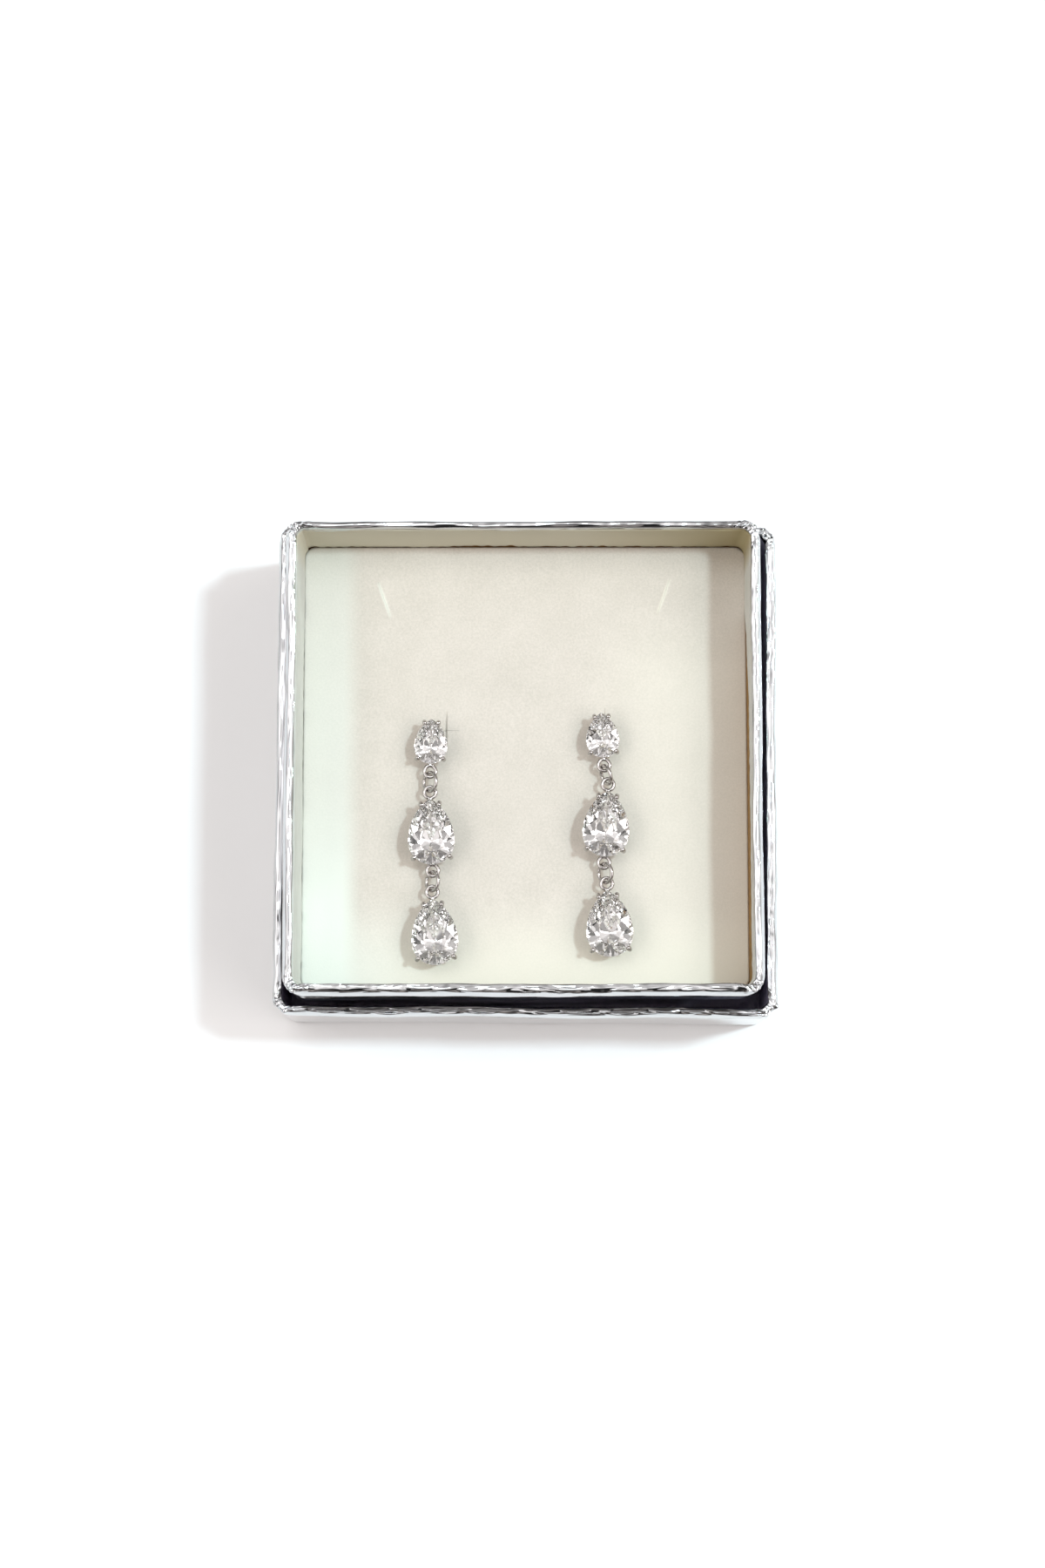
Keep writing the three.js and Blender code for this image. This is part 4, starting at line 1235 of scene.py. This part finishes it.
def studio_light():
    """A white tent, a key light on the right and a little behind, as high as the wall shadows in the tray
    need, a weaker one behind on the left, and a faint low one on the right that reaches over the tray's
    wall to its far side. The tent's grey parts, folds and dark opening put bands in the foil and grey and
    dark facets in the stones."""
    white_tent()
    lamp("key_light", (0.45, 0.09, 1.0), 0.12, 10.9, "#DEF6FF")
    lamp("back_light", (-0.12, 0.30, 1.0), 0.35, 1.7, "#F4FDFF")
    lamp("low_light", (1.0, 0.25, 0.22), 0.08, 3.2, "#E0FFF2")


def table():
    """A wide white table with a satin laminate top: a flat grid, far larger than the view."""
    material, tree, shader = new_material("white_table_laminate")
    place = node(tree, "ShaderNodeTexCoord").outputs["Object"]
    speck = node(tree, "ShaderNodeTexNoise", {"Scale": per_mm(30.0), "Detail": 2.0}, {"Vector": place})
    tint = node(tree, "ShaderNodeMix",
                {"data_type": "RGBA", FIRST: linear("#F9F9F9"), SECOND: linear("#FBFBFB")},
                {0: speck.outputs["Fac"]})
    give(tree, shader, {"Roughness": 0.6}, {"Base Color": tint.outputs[MIXED]})
    line = np.linspace(-3000, 3000, 9)
    x, y = np.meshgrid(line, line)
    points = np.column_stack([x.ravel(), y.ravel(), np.full(x.size, -0.05)])
    mesh = bpy.data.meshes.new("table")
    faces = grid_quads(len(line), len(line), wrap_columns=False).tolist()
    mesh.from_pydata((points * MM).tolist(), [], faces)
    mesh.materials.append(material)
    floor = bpy.data.objects.new("table", mesh)
    bpy.context.scene.collection.objects.link(floor)


# ------------------------------------------------------------------ making

MATERIALS = {
    "foil": silver_foil(),
    "raw_board": raw_board("brown_greyboard", "#74532A", "#AC8549"),
    "dark_board": raw_board("violet_grey_board", "#CDC4DA", "#DAD2E6"),
    "lining": lining_paper(),
    "flock": flocked_foam(),
    "metal": rhodium_plate(),
    "stone": cubic_zirconia(),
}

camera()
studio_light()
table()

lid = board_box("foil_lid", LID_LOW, LID_HIGH, *lid_size(), LID, MATERIALS["dark_board"])
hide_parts("lid_shell")
tray = board_box("foil_tray", TRAY_LOW, TRAY_HIGH, *(TRAY_HIGH - TRAY_LOW)[:2], TRAY, MATERIALS["raw_board"])
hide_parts("tray_shell")
lining = lining_band()
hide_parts("tray_lining")
pad = flocked_pad()
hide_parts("pad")
jewellery()

scene = bpy.context.scene
scene.view_settings.view_transform = "Standard"
scene.cycles.max_bounces = 24
scene.cycles.transmission_bounces = 24
scene.cycles.glossy_bounces = 16
